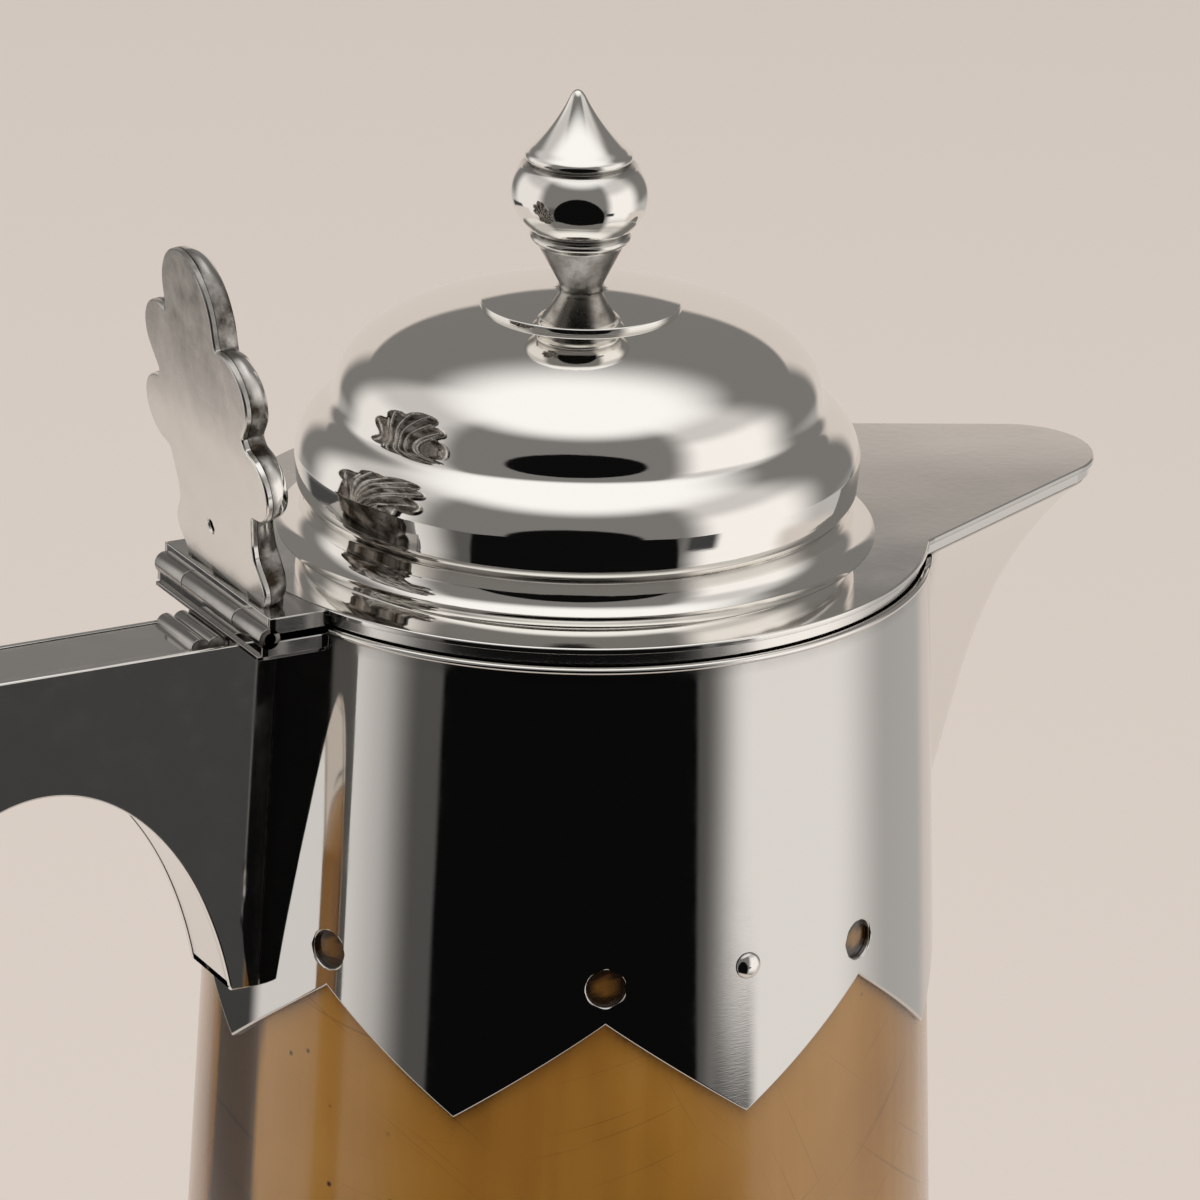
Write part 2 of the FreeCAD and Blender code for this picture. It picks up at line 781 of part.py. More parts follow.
def thumbpiece_back():
    plate = palmette(0, 0, thumb_back_sheet)
    vent = Part.makeCylinder(vent_radius, 2 * MARGIN, V(-MARGIN, vent_offset, vent_height), V(1, 0, 0))
    return leaned(plate.cut(vent))


def rib(end, sign, base):
    start = V(base, 0, rib_root_height)
    tip = V(base, sign * end[0], end[1])
    way = tip.sub(start)
    ridge = Part.makeCone(rib_root_radius, rib_tip_radius, way.Length, start, way)
    return ridge.fuse(Part.makeSphere(rib_tip_radius, tip))


# Stamped front: stepped palmette, hollow behind, with a fan of raised ribs
def thumbpiece_front():
    base = thumb_back_sheet
    step = thumb_front_depth - thumb_edge_round
    lower = palmette(0, base, step)
    upper = palmette(thumb_edge_round, base + step, thumb_edge_round)
    face = base + thumb_front_depth
    ridges = []
    for end in rib_ends:
        for sign in (1, -1) if end[0] else (1,):
            ridges.append(rib(end, sign, face))
    behind = Part.makeBox(MARGIN, rim_height, rim_height, V(base - MARGIN, -rim_height / 2, -MARGIN))
    front = lower.multiFuse([upper] + ridges).cut(behind)
    pocket = palmette(thumb_pocket_inset, base, thumb_front_depth - thumb_front_wall)
    return leaned(front.cut(pocket).removeSplitter())


nodes = {
    "horn_body": horn_body(),
    "base_plug": base_plug(),
    "base_plate": base_plate(),
    "collar": collar(),
    "collar_rim_wire": collar_rim_wire(),
    "rim_lining": rim_lining(),
    "spout": spout(),
    "collar_rivets": rivet_pair(rim_height - collar_rivet_depth),
    "foot_band": foot_band(),
    "foot_ring": foot_ring(),
    "foot_rivets": rivet_pair(foot_rivet_height),
    "handle_near_side": handle_side(-1),
    "handle_far_side": handle_side(1),
    "handle_back_strip": handle_back_strip(),
    "handle_grip_strip": handle_grip_strip(),
    "handle_moulding": handle_moulding(),
    "hinge_sole_plate": hinge_sole_plate(),
    "hinge_lower_leaf": hinge_lower_leaf(),
    "hinge_pin": hinge_pin(),
    "hinge_upper_leaf": hinge_upper_leaf(),
    "lid_plate": lid_plate(),
    "lid_edge_band": lid_edge_band(),
    "lid_bezel": lid_bezel(),
    "lid_dome": lid_dome(),
    "finial_disc": finial_disc(),
    "finial_knob": finial_knob(),
    "finial_stud": finial_stud(),
    "finial_washer": finial_washer(),
    "finial_nut": finial_nut(),
    "thumbpiece_back": thumbpiece_back(),
    "thumbpiece_front": thumbpiece_front(),
}

for name, shape in nodes.items():
    shape.exportStep("parts/" + name + ".step")
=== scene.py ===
# Silver-mounted horn jug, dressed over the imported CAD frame.
# Shapes are written in millimetres, and objects are in metres.
import math

import bpy
import numpy as np
from mathutils import Matrix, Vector
from mathutils.geometry import delaunay_2d_cdt


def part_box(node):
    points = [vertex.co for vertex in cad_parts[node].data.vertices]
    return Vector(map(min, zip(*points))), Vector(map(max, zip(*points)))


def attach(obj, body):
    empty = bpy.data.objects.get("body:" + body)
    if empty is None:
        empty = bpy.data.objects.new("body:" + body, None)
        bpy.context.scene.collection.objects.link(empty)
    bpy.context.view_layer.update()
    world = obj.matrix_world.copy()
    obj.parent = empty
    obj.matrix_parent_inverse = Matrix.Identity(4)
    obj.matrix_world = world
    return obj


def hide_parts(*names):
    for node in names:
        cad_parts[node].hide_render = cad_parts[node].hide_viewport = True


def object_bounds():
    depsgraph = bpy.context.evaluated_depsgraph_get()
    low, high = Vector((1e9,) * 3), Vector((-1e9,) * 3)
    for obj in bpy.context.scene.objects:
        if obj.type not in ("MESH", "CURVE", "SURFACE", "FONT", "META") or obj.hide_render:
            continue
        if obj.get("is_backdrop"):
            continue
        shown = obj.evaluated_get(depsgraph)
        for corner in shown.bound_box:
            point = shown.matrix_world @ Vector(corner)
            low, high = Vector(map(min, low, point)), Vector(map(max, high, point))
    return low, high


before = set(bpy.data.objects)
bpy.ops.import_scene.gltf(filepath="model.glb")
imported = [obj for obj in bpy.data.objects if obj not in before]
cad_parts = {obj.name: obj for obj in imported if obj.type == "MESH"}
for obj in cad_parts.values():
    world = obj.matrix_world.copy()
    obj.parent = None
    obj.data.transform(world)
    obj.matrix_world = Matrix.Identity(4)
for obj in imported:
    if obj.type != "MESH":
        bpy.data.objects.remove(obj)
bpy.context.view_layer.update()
MM = 0.001

# Silver: raised sheet, polished to a mirror by hand, so it waves slightly and carries fine wipe marks.
# Grooves and joints keep a dark tarnish, and some pieces carry painted shade; both are placed by each piece's own
# per-point values.
def add_node(tree, kind, values=None, **settings):
    node = tree.nodes.new(kind)
    for key, value in settings.items():
        setattr(node, key, value)
    for key, value in (values or {}).items():
        if isinstance(value, bpy.types.NodeSocket):
            tree.links.new(value, node.inputs[key])
        else:
            node.inputs[key].default_value = value
    return node


def maths(tree, operation, *values, clamp=False):
    settings = {"operation": operation, "use_clamp": clamp}
    return add_node(tree, "ShaderNodeMath", dict(enumerate(values)), **settings).outputs[0]


def noise(tree, vector, scale, detail, **extra):
    values = {"Vector": vector, "Scale": scale, "Detail": detail, **extra}
    return add_node(tree, "ShaderNodeTexNoise", values).outputs["Fac"]


def rescale(tree, value, low, high, to_low=0.0, to_high=1.0):
    """Value carried from low..high to to_low..to_high, held at the ends."""
    values = {"Value": value, "From Min": low, "From Max": high, "To Min": to_low, "To Max": to_high}
    return add_node(tree, "ShaderNodeMapRange", values).outputs[0]


def mix(tree, factor, under, over):
    values = {"Factor": factor, "A": under, "B": over}
    return add_node(tree, "ShaderNodeMix", values, data_type="RGBA").outputs["Result"]


CLEAN_SILVER = (0.90, 0.88, 0.845, 1.0)
FILM_GREY = (0.34, 0.33, 0.32, 1.0)
# Tarnish colour, which also serves as painted shade where a piece's per-point values ask for it.
TARNISH_AND_SHADE = (0.055, 0.042, 0.030, 1.0)


def silver_wear():
    """Group: object coordinates and per-point values give the tarnish colour with painted shade, smudged
    roughness and a hand-raised normal.
    """
    group = bpy.data.node_groups.new("silver wear", "ShaderNodeTree")
    for name in ("Base Roughness", "Wave", "Film"):
        group.interface.new_socket(name, in_out="INPUT", socket_type="NodeSocketFloat")
    for name, kind in (("Colour", "Color"), ("Roughness", "Float"), ("Normal", "Vector")):
        group.interface.new_socket(name, in_out="OUTPUT", socket_type="NodeSocket" + kind)
    given = group.nodes.new("NodeGroupInput").outputs
    place = add_node(group, "ShaderNodeTexCoord").outputs["Object"]
    wave = noise(group, place, 38.0, 1.0)
    smudge = noise(group, place, 240.0, 6.0, Roughness=0.65)
    drawn = add_node(group, "ShaderNodeMapping", {"Vector": place, "Scale": (900.0, 900.0, 9000.0)})
    wipe = noise(group, drawn.outputs[0], 1.0, 3.0)
    grime_and_shade = add_node(group, "ShaderNodeAttribute", attribute_name="grime_and_shade").outputs["Fac"]
    # The per-point values darken the silver: tarnish, and painted shade on some pieces.
    darkening = maths(group, "MULTIPLY", grime_and_shade, rescale(group, smudge, 0.3, 0.7, 0.5, 1.25), clamp=True)
    colour = mix(group, darkening, mix(group, given["Film"], CLEAN_SILVER, FILM_GREY), TARNISH_AND_SHADE)
    rough = maths(group, "ADD", given["Base Roughness"], rescale(group, smudge, 0.45, 0.8, 0.0, 0.05))
    rough = maths(group, "MULTIPLY_ADD", darkening, 0.4, rough)
    swell = add_node(group, "ShaderNodeBump", {"Height": wave, "Distance": 0.0006, "Strength": given["Wave"]})
    fine = add_node(group, "ShaderNodeBump", {"Height": wipe, "Distance": 0.000002, "Strength": 0.5,
                                              "Normal": swell.outputs[0]})
    add_node(group, "NodeGroupOutput", {"Colour": colour, "Roughness": rough, "Normal": fine.outputs[0]})
    return group


SILVER_WEAR = silver_wear()


def silver(name, roughness, wave, slot="polished_silver", film=0.0):
    material = bpy.data.materials.new(name)
    material.use_nodes = True
    tree = material.node_tree
    shader = tree.nodes["Principled BSDF"]
    wear = add_node(tree, "ShaderNodeGroup", node_tree=SILVER_WEAR)
    wear.inputs["Base Roughness"].default_value = roughness
    wear.inputs["Wave"].default_value = wave
    wear.inputs["Film"].default_value = film
    for given, taken in (("Colour", "Base Color"), ("Roughness", "Roughness"), ("Normal", "Normal")):
        tree.links.new(wear.outputs[given], shader.inputs[taken])
    shader.inputs["Metallic"].default_value = 1.0
    material["slot"] = slot
    return material


MIRROR = silver("mirror silver", 0.035, 0.10)
WORN = silver("worn silver", 0.035, 0.10, film=0.38)
DARK = silver("tarnished silver", 0.07, 0.10, film=0.62)
SATIN = silver("satin silver", 0.17, 0.10)
DULL = silver("inner silver", 0.32, 0.10, "inner_silver")


# Horn: amber and brown, polished, with growth streaks up the body.
# Use has left slanting hairline scratches and a few dark pits, and there is dirt and painted shade where the
# piece's per-point values say.
HORN_TONES = ((0.30, (0.235, 0.085, 0.008, 1.0)), (0.72, (0.60, 0.335, 0.080, 1.0)),
              (0.5, (0.425, 0.200, 0.025, 1.0)))
# Dark colour for dirt, pits and scratches, also used as painted shade.
HORN_DIRT_AND_SHADE = (0.03, 0.014, 0.005, 1.0)
SCRATCH_TURNS = ((0.1, 0.75, 0.0), (0.2, -0.55, 0.3), (-0.2, 1.15, 0.2))
SCRATCH_SIZE = (0.035, 0.035, 0.00045)
SCRATCH_WEIGHT = 0.24


def horn_material():
    material = bpy.data.materials.new("polished horn")
    material.use_nodes = True
    tree = material.node_tree
    place = add_node(tree, "ShaderNodeTexCoord").outputs["Object"]
    long = add_node(tree, "ShaderNodeMapping", {"Vector": place, "Scale": (70.0, 70.0, 5.0)}).outputs[0]
    streak = noise(tree, long, 1.0, 5.0, Distortion=0.6)
    cloud = noise(tree, place, 22.0, 3.0)
    blend = add_node(tree, "ShaderNodeMix", {"Factor": 0.55, "A": streak, "B": cloud}).outputs["Result"]
    tone = add_node(tree, "ShaderNodeValToRGB", {"Fac": blend})
    stops = tone.color_ramp.elements
    for stop, (position, colour) in zip((stops[0], stops[1], None), HORN_TONES):
        stop = stop or stops.new(position)
        stop.position = position
        stop.color = colour
    scratch = 0.0
    for turn in SCRATCH_TURNS:
        lie = {"Vector": place, "Rotation": turn, "Scale": SCRATCH_SIZE}
        slant = add_node(tree, "ShaderNodeMapping", lie, vector_type="TEXTURE").outputs[0]
        scratch = maths(tree, "MAXIMUM", rescale(tree, noise(tree, slant, 1.0, 1.0), 0.70, 0.76), scratch)
    spots = add_node(tree, "ShaderNodeTexVoronoi", {"Vector": place, "Scale": 230.0}).outputs["Distance"]
    pit = maths(tree, "MULTIPLY", rescale(tree, spots, 0.10, 0.04), rescale(tree, cloud, 0.55, 0.62))
    grime_and_shade = add_node(tree, "ShaderNodeAttribute", attribute_name="grime_and_shade").outputs["Fac"]
    marks_and_shade = maths(tree, "MULTIPLY_ADD", scratch, SCRATCH_WEIGHT, pit)
    # The per-point values add dirt and painted shade.
    marks_and_shade = maths(tree, "ADD", marks_and_shade, grime_and_shade, clamp=True)
    colour = mix(tree, marks_and_shade, tone.outputs["Color"], HORN_DIRT_AND_SHADE)
    relief = add_node(tree, "ShaderNodeBump", {"Height": marks_and_shade, "Distance": 0.00002, "Strength": 0.4},
                      invert=True).outputs[0]
    shader = tree.nodes["Principled BSDF"]
    for name, value in (("Base Color", colour), ("Normal", relief)):
        tree.links.new(value, shader.inputs[name])
    shader.inputs["Roughness"].default_value = 0.24
    shader.inputs["Coat Weight"].default_value = 0.7
    shader.inputs["Coat Roughness"].default_value = 0.10
    shader.inputs["Subsurface Weight"].default_value = 0.12
    shader.inputs["Subsurface Radius"].default_value = (0.004, 0.002, 0.0008)
    material["slot"] = "horn"
    return material


HORN = horn_material()


# Ways to make a piece: whole arrays become an object, and a profile is turned on a lathe.
# Each piece rides on a body and hides the CAD nodes it stands for.
def add_piece(name, points, faces, material, body, nodes=(), grime_and_shade=None, normals=None):
    """Object from whole arrays: points (n, 3) in millimetres, faces as index rows, the rest per point."""
    mesh = bpy.data.meshes.new(name)
    rows = [row for block in faces for row in np.asarray(block).tolist()]
    mesh.from_pydata((np.asarray(points) * MM).tolist(), [], rows)
    mesh.polygons.foreach_set("use_smooth", np.ones(len(mesh.polygons), dtype=bool))
    # Per-point values of tarnish, dirt and painted shade, read by the materials.
    layer = mesh.attributes.new("grime_and_shade", "FLOAT", "POINT")
    darkening = np.zeros(len(points)) if grime_and_shade is None else np.asarray(grime_and_shade, dtype=float)
    layer.data.foreach_set("value", darkening)
    mesh.materials.append(material)
    mesh.update()
    if normals is not None:
        mesh.normals_split_custom_set_from_vertices(np.asarray(normals).tolist())
    piece = bpy.data.objects.new(name, mesh)
    bpy.context.scene.collection.objects.link(piece)
    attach(piece, body)
    if nodes:
        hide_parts(*nodes)
    return piece


def grid_faces(rows, cols, closed):
    """Quads of a rows by cols grid of points, joined round the columns when closed."""
    i, j = np.meshgrid(np.arange(rows - 1), np.arange(cols if closed else cols - 1), indexing="ij")
    k = (j + 1) % cols
    return np.stack([i * cols + j, i * cols + k, (i + 1) * cols + k, (i + 1) * cols + j], -1).reshape(-1, 4)


def lathe(profile, angles, closed):
    """Points (r cos a, r sin a, z) for each profile row (r, z) and each angle a, with their quads."""
    r, z = np.asarray(profile).T
    points = np.stack([np.outer(r, np.cos(angles)), np.outer(r, np.sin(angles)),
                       np.repeat(z[:, None], len(angles), 1)], -1)
    return points.reshape(-1, 3), grid_faces(len(r), len(angles), closed)


TURN = 2 * math.pi
ROUND = np.arange(288) * TURN / 288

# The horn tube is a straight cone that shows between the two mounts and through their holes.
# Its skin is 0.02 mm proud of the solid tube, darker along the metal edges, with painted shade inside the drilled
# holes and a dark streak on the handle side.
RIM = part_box("collar")[1][2] / MM
COLLAR_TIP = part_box("collar")[0][2] / MM
FOOT_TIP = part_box("foot_band")[1][2] / MM
FOOT_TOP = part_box("foot_band")[0][2] / MM
HORN_TOP_RADIUS = 39.8
HORN_SLOPE = 0.049
SHEET = 0.7
FIT_GAP = 0.05
TEETH = 8
TOOTH_PITCH = TURN / TEETH
COLLAR_NOTCH = RIM - 41.7
FOOT_NOTCH = 45.0
HOLE_RADIUS = 2.2
COLLAR_HOLE = RIM - 37.4
FOOT_HOLE = 40.6
SKIN_LIFT = 0.02
SKIN_TOP = RIM - 24.0
EDGE_DARKENING_REACH = 0.45
STREAK_HALF, STREAK_EDGE, STREAK_DARK = 8.5, 1.2, 0.88


def cone_radius(z, stand_off=SHEET + FIT_GAP):
    """Radius of the body cone at height z: top radius + slope * depth below the rim + stand_off."""
    return HORN_TOP_RADIUS + HORN_SLOPE * (RIM - z) + stand_off


def tooth_height(angle, notch, tip):
    """Height of a toothed edge: tip at whole pitches, notch half way between, straight lines in between."""
    phase = np.abs((angle / TOOTH_PITCH + 0.5) % 1.0 - 0.5) * 2
    return tip + (notch - tip) * phase


height = np.linspace(FOOT_TOP, SKIN_TOP, 330)
skin, skin_faces = lathe(np.stack([cone_radius(height, SKIN_LIFT), height], -1), ROUND, True)
around = np.arctan2(skin[:, 1], skin[:, 0])
below_collar = tooth_height(around, COLLAR_NOTCH, COLLAR_TIP) - skin[:, 2]
above_foot = skin[:, 2] - tooth_height(around, FOOT_NOTCH, FOOT_TIP)
# The horn is darker just below the collar's teeth and just above the foot's teeth.
edge_darkening = sum(np.exp(-np.clip(away, 0, None) / EDGE_DARKENING_REACH) for away in (below_collar, above_foot))
patchy = 0.55 + 0.35 * np.sin(around * 9.0) * np.sin(around * 23.0 + 1.0)
to_hole = np.abs(around / TOOTH_PITCH % 1.0 - 0.5) * TOOTH_PITCH * np.hypot(skin[:, 0], skin[:, 1])
edge_darkening = np.clip(edge_darkening, 0, 1) * patchy
# Through each drilled hole the horn is darkened in a ring round an amber centre: painted shade in the deep hole.
for level in (COLLAR_HOLE, FOOT_HOLE):
    reach = np.hypot(to_hole, skin[:, 2] - level)
    edge_darkening = np.maximum(edge_darkening, np.clip((reach - 0.6) / 0.8, 0, 1) * (reach < 3.0))
# The horn is darker in a narrow band down the handle side.
from_handle = np.degrees(np.abs(np.arctan2(skin[:, 1], -skin[:, 0])) + 0.02 * np.sin(skin[:, 2] / 9.0))
dark_streak = np.clip((STREAK_HALF - from_handle) / STREAK_EDGE, 0, 1) * STREAK_DARK
add_piece("horn_skin", skin, [skin_faces], HORN, "jug", grime_and_shade=np.maximum(edge_darkening, dark_streak))


# Sheet work: every flat or rolled piece of sheet silver is cut from a drawn outline.
# The outline is filled with triangles, laid on a plane or on the cone, and its edge is filed round.
def turned_normals(loop):
    """Outward normals of a closed loop wound with the sheet on its left, longer at corners to keep width."""
    ahead = np.roll(loop, -1, 0) - loop
    ahead /= np.linalg.norm(ahead, axis=1)[:, None]
    behind = np.roll(ahead, 1, 0)
    mean = ahead + behind
    mean /= np.maximum(np.linalg.norm(mean, axis=1), 1e-9)[:, None]
    stretch = np.clip(np.einsum("ij,ij->i", mean, ahead), 0.35, 1.0)
    return np.stack([mean[:, 1], -mean[:, 0]], -1) / stretch[:, None]


def fill(loops, extra, keep):
    """Constrained Delaunay triangles of closed loops and loose points, kept where keep(centres) holds."""
    coords = np.concatenate(list(loops) + [extra])
    edges = []
    start = 0
    for loop in loops:
        index = np.arange(len(loop))
        edges += np.stack([start + index, start + (index + 1) % len(loop)], -1).tolist()
        start += len(loop)
    out = delaunay_2d_cdt(coords.tolist(), edges, [], 1, 1e-6)
    flat = np.array([tuple(v) for v in out[0]])
    tris = np.array([f for f in out[2] if len(f) == 3])
    return flat, tris[keep(flat[tris].mean(1))]


def sheet(loops, extra, keep, place, thick, edge, back=False):
    """Points, faces and normals of a sheet: face triangles, a quarter-round edge and a cut side.

    place(uv, depth) lays plane coordinates on the piece, depth below its face."""
    step = 0.01
    inset = [loop - edge * turned_normals(loop) for loop in loops]
    flat, tris = fill(inset, extra, keep)

    def up(uv):
        here = place(uv, 0.0)
        a = place(uv + (step, 0), 0.0) - here
        b = place(uv + (0, step), 0.0) - here
        normal = np.cross(a, b)
        return normal / np.linalg.norm(normal, axis=1)[:, None]

    points, normals, faces = [place(flat, 0.0)], [up(flat)], [tris]
    count = len(flat)
    if back:
        points.append(place(flat, thick))
        normals.append(-up(flat))
        faces.append(tris[:, ::-1] + count)
        count += len(flat)
    for loop in loops:
        out = turned_normals(loop)
        top = up(loop)
        side = place(loop + step * out, 0.0) - place(loop, 0.0)
        side /= np.linalg.norm(side, axis=1)[:, None]
        rows, looks = [], []
        for angle in np.linspace(0, math.pi / 2, 5):
            rows.append(place(loop - edge * (1 - math.sin(angle)) * out, edge * (1 - math.cos(angle))))
            looks.append(math.cos(angle) * top + math.sin(angle) * side)
        rows += [place(loop, thick - 0.3 * edge), place(loop - 0.3 * edge * out, thick)]
        looks += [side, (side - top) * math.sqrt(0.5)]
        points += rows
        normals += looks
        quads = grid_faces(len(rows), len(loop), True)
        faces.append(quads[:, ::-1] + count)
        count += len(rows) * len(loop)
    return np.concatenate(points), faces, np.concatenate(normals)


def arc(centre, radius, start, end, count):
    """Plane points on a circle, or on an ellipse when radius is a pair, between two angles in degrees."""
    turn = np.radians(np.linspace(start, end, count))
    return np.asarray(centre) + np.stack([np.cos(turn), np.sin(turn)], -1) * np.broadcast_to(radius, 2)


def inside(loop, uv):
    """True where points lie inside a closed loop, by the even-odd count of crossings."""
    hit = np.zeros(len(uv), dtype=bool)
    for a, b in zip(loop, np.roll(loop, -1, 0)):
        spans = (a[1] > uv[:, 1]) != (b[1] > uv[:, 1])
        cross = a[0] + (uv[:, 1] - a[1]) / ((b[1] - a[1]) or 1.0) * (b[0] - a[0])
        hit ^= spans & (uv[:, 0] < cross)
    return hit


def scatter(loop, spacing, clear):
    """Grid points inside a closed loop, spacing apart and at least clear from its edge."""
    low, high = loop.min(0), loop.max(0)
    u, v = np.meshgrid(np.arange(low[0], high[0], spacing) + spacing / 2, np.arange(low[1], high[1], spacing))
    points = np.stack([u.ravel(), v.ravel()], -1)
    points = points[inside(loop, points)]
    return points[np.linalg.norm(points[:, None] - loop[None], axis=-1).min(1) > clear]


def even(loop, spacing):
    """A closed loop re-cut so no edge is longer than spacing, its own corners kept."""
    parts = []
    for a, b in zip(loop, np.roll(loop, -1, 0)):
        cuts = max(1, int(math.ceil(np.linalg.norm(b - a) / spacing)))
        parts.append(a + (b - a) * np.arange(cuts)[:, None] / cuts)
    return np.concatenate(parts)


# Collar and foot band: two strips of sheet rolled into cones, each with a row of saw-cut points.
# A round hole is drilled at every notch, and the collar is cut away behind the spout for pouring.
UNROLL = 42.0
POUR_HALF = 8.0
POUR_SILL = RIM - 14.0
CUT_EDGE = 0.28


def on_cone(uv, depth):
    """Unrolled (u, z) laid on the mount cone: angle u / UNROLL, radius of the cone less depth."""
    angle = uv[:, 0] / UNROLL
    radius = cone_radius(uv[:, 1]) - depth
    return np.stack([radius * np.cos(angle), radius * np.sin(angle), uv[:, 1]], -1)


def toothed_edge(notch, tip):
    angle = np.arange(2 * TEETH + 1) * TOOTH_PITCH / 2
    return np.stack([angle * UNROLL, tooth_height(angle, notch, tip)], -1)


def notch_holes(z):
    centres = (np.arange(TEETH) + 0.5) * TOOTH_PITCH * UNROLL
    return [arc((u, z), HOLE_RADIUS, 0, -350, 36) for u in centres]


def rolled_band(name, outline, holes, z_low, z_high, material, node):
    outline = even(outline, 1.0)
    u, z = np.meshgrid(np.arange(1.0, TURN * UNROLL, 1.9), np.arange(z_low + 1, z_high, 2.3))
    extra = np.stack([u.ravel(), z.ravel()], -1)
    centres = np.array([hole.mean(0) for hole in holes])
    gap = np.linalg.norm(extra[:, None] - centres[None], axis=-1).min(1)
    clear = np.linalg.norm(extra[:, None] - outline[None], axis=-1).min(1)
    extra = extra[(gap > HOLE_RADIUS + 0.5) & (clear > 0.7) & inside(outline, extra)]

    def keep(uv):
        free = np.linalg.norm(uv[:, None] - centres[None], axis=-1).min(1) > HOLE_RADIUS
        return inside(outline, uv) & free

    points, faces, normals = sheet([outline] + holes, extra, keep, on_cone, SHEET, CUT_EDGE)
    joint = np.exp(-np.abs(points[:, 2] - z_high) / 0.5) * 0.5
    return add_piece(name, points, faces, material, "jug", [node], joint, normals)


sill = arc((0, POUR_SILL), POUR_HALF, -90, 0, 12)
left_side = np.concatenate([[(POUR_HALF, RIM)], sill[::-1]])
right_side = np.concatenate([sill, [(POUR_HALF, RIM)]]) * (-1, 1) + (TURN * UNROLL, 0)
collar_edge = toothed_edge(COLLAR_NOTCH, COLLAR_TIP)
rolled_band("collar_sheet", np.concatenate([left_side, collar_edge, right_side]), notch_holes(COLLAR_HOLE),
            COLLAR_TIP, RIM, WORN, "collar")
foot_edge = toothed_edge(FOOT_NOTCH, FOOT_TIP)[::-1]
foot_corners = np.array([(0.0, FOOT_TOP), (TURN * UNROLL, FOOT_TOP)])
rolled_band("foot_sheet", np.concatenate([foot_corners, foot_edge]), notch_holes(FOOT_HOLE),
            FOOT_TOP, FOOT_TIP, MIRROR, "foot_band")


# Half-round wire soldered round the top of the collar, broken at the spout and at the hinge.
# It is drawn wire, so it is one even bead.
WIRE, WIRE_SINK = 0.4, 0.05
wire_level = RIM - WIRE
wire = arc((cone_radius(wire_level) - WIRE_SINK, wire_level), WIRE, -90, 90, 9)
wire = np.concatenate([wire, [(cone_radius(RIM, 0.0), RIM)]])
SPOUT_TURN = 30.6
HINGE_TURN = 160.4
for side, (start, end) in (("right", (-HINGE_TURN, -SPOUT_TURN)), ("left", (SPOUT_TURN, HINGE_TURN))):
    points, faces = lathe(wire, np.radians(np.linspace(start, end, 140)), False)
    seam = np.exp(-np.abs(points[:, 2] - RIM + 2 * WIRE) / 0.12) * 0.8
    add_piece("rim_wire_" + side, points, [faces], MIRROR, "jug", ["collar_rim_wire"], seam)

# Rivets: domed silver heads that pin both mounts to the horn, one each side of the body.
# Each head is hammered over its shank and sits in a thin ring of dirt.
HEAD_RADIUS = 1.55
HEAD_RISE = 0.75
RIVETS = (("collar", RIM - 36.3), ("foot", 41.5))


def rivet_head(z, angle):
    """Dome z = rise * sqrt(1 - (r / radius)^2) turned to face outward from the cone at one angle."""
    turn = np.radians(np.linspace(0, 89, 12))
    profile = np.stack([HEAD_RADIUS * np.cos(turn), HEAD_RISE * np.sin(turn)], -1)
    points, faces = lathe(profile, np.arange(36) * TURN / 36, True)
    out = cone_radius(z) - 0.04 + points[:, 2]
    a, b, c = math.cos(angle), math.sin(angle), points
    placed = np.stack([out * a - c[:, 0] * b, out * b + c[:, 0] * a, z + c[:, 1]], -1)
    return placed, faces, np.exp(-points[:, 2] / 0.22)


for mount, level in RIVETS:
    for side, angle in (("near", -TURN / 4), ("far", TURN / 4)):
        points, faces, ring = rivet_head(level, angle)
        add_piece(mount + "_rivet_" + side, points, [faces], MIRROR, "jug", [mount + "_rivets"], ring)

# Foot ring: a turned moulding soldered under the foot band, flat underneath.
# It swells out from the band to a thick edge that stands on the table.
FOOT_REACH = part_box("foot_ring")[1][0] / MM
FOOT_EDGE = 1.3


def arc3(a, b, c, count):
    """Points on the circle through three plane points, from the first to the last."""
    (ax, ay), (bx, by), (cx, cy) = a, b, c
    d = 2 * (ax * (by - cy) + bx * (cy - ay) + cx * (ay - by))
    p, q, r = ax * ax + ay * ay, bx * bx + by * by, cx * cx + cy * cy
    x = (p * (by - cy) + q * (cy - ay) + r * (ay - by)) / d
    y = (p * (cx - bx) + q * (ax - cx) + r * (bx - ax)) / d
    angles = np.unwrap([math.atan2(k[1] - y, k[0] - x) for k in (a, b, c)])
    turn = np.linspace(angles[0], angles[2], count)
    radius = math.hypot(ax - x, ay - y)
    return np.stack([x + radius * np.cos(turn), y + radius * np.sin(turn)], -1)


def soften(profile, step, blur):
    """A profile re-cut at even steps, then eased by a Gaussian of width blur with its ends held."""
    profile = np.asarray(profile, dtype=float)
    length = np.concatenate([[0.0], np.cumsum(np.linalg.norm(np.diff(profile, axis=0), axis=1))])
    cuts = np.linspace(0, length[-1], int(length[-1] / step) + 2)
    points = np.stack([np.interp(cuts, length, profile[:, k]) for k in (0, 1)], -1)
    reach = int(3 * blur / step) + 1
    weight = np.exp(-0.5 * (np.arange(-reach, reach + 1) * step / blur) ** 2)
    padded = np.pad(points, ((reach, reach), (0, 0)), mode="reflect", reflect_type="odd")
    return np.stack([np.convolve(padded[:, k], weight / weight.sum(), "valid") for k in (0, 1)], -1)


def hollows(profile, strength):
    """Tarnish by profile: strength times the inward bend of the line, nothing where it bulges."""
    ahead = np.gradient(profile, axis=0)
    bend = np.gradient(np.unwrap(np.arctan2(ahead[:, 1], ahead[:, 0])))
    bend /= np.maximum(np.linalg.norm(ahead, axis=1), 1e-6)
    return np.clip(-bend * strength, 0, 1)


def add_lathe(name, profile, material, body, nodes, strength=0.0, steps=288):
    points, faces = lathe(profile, np.arange(steps) * TURN / steps, True)
    darkening = np.repeat(hollows(profile, strength), steps)
    return add_piece(name, points, [faces], material, body, nodes, darkening)


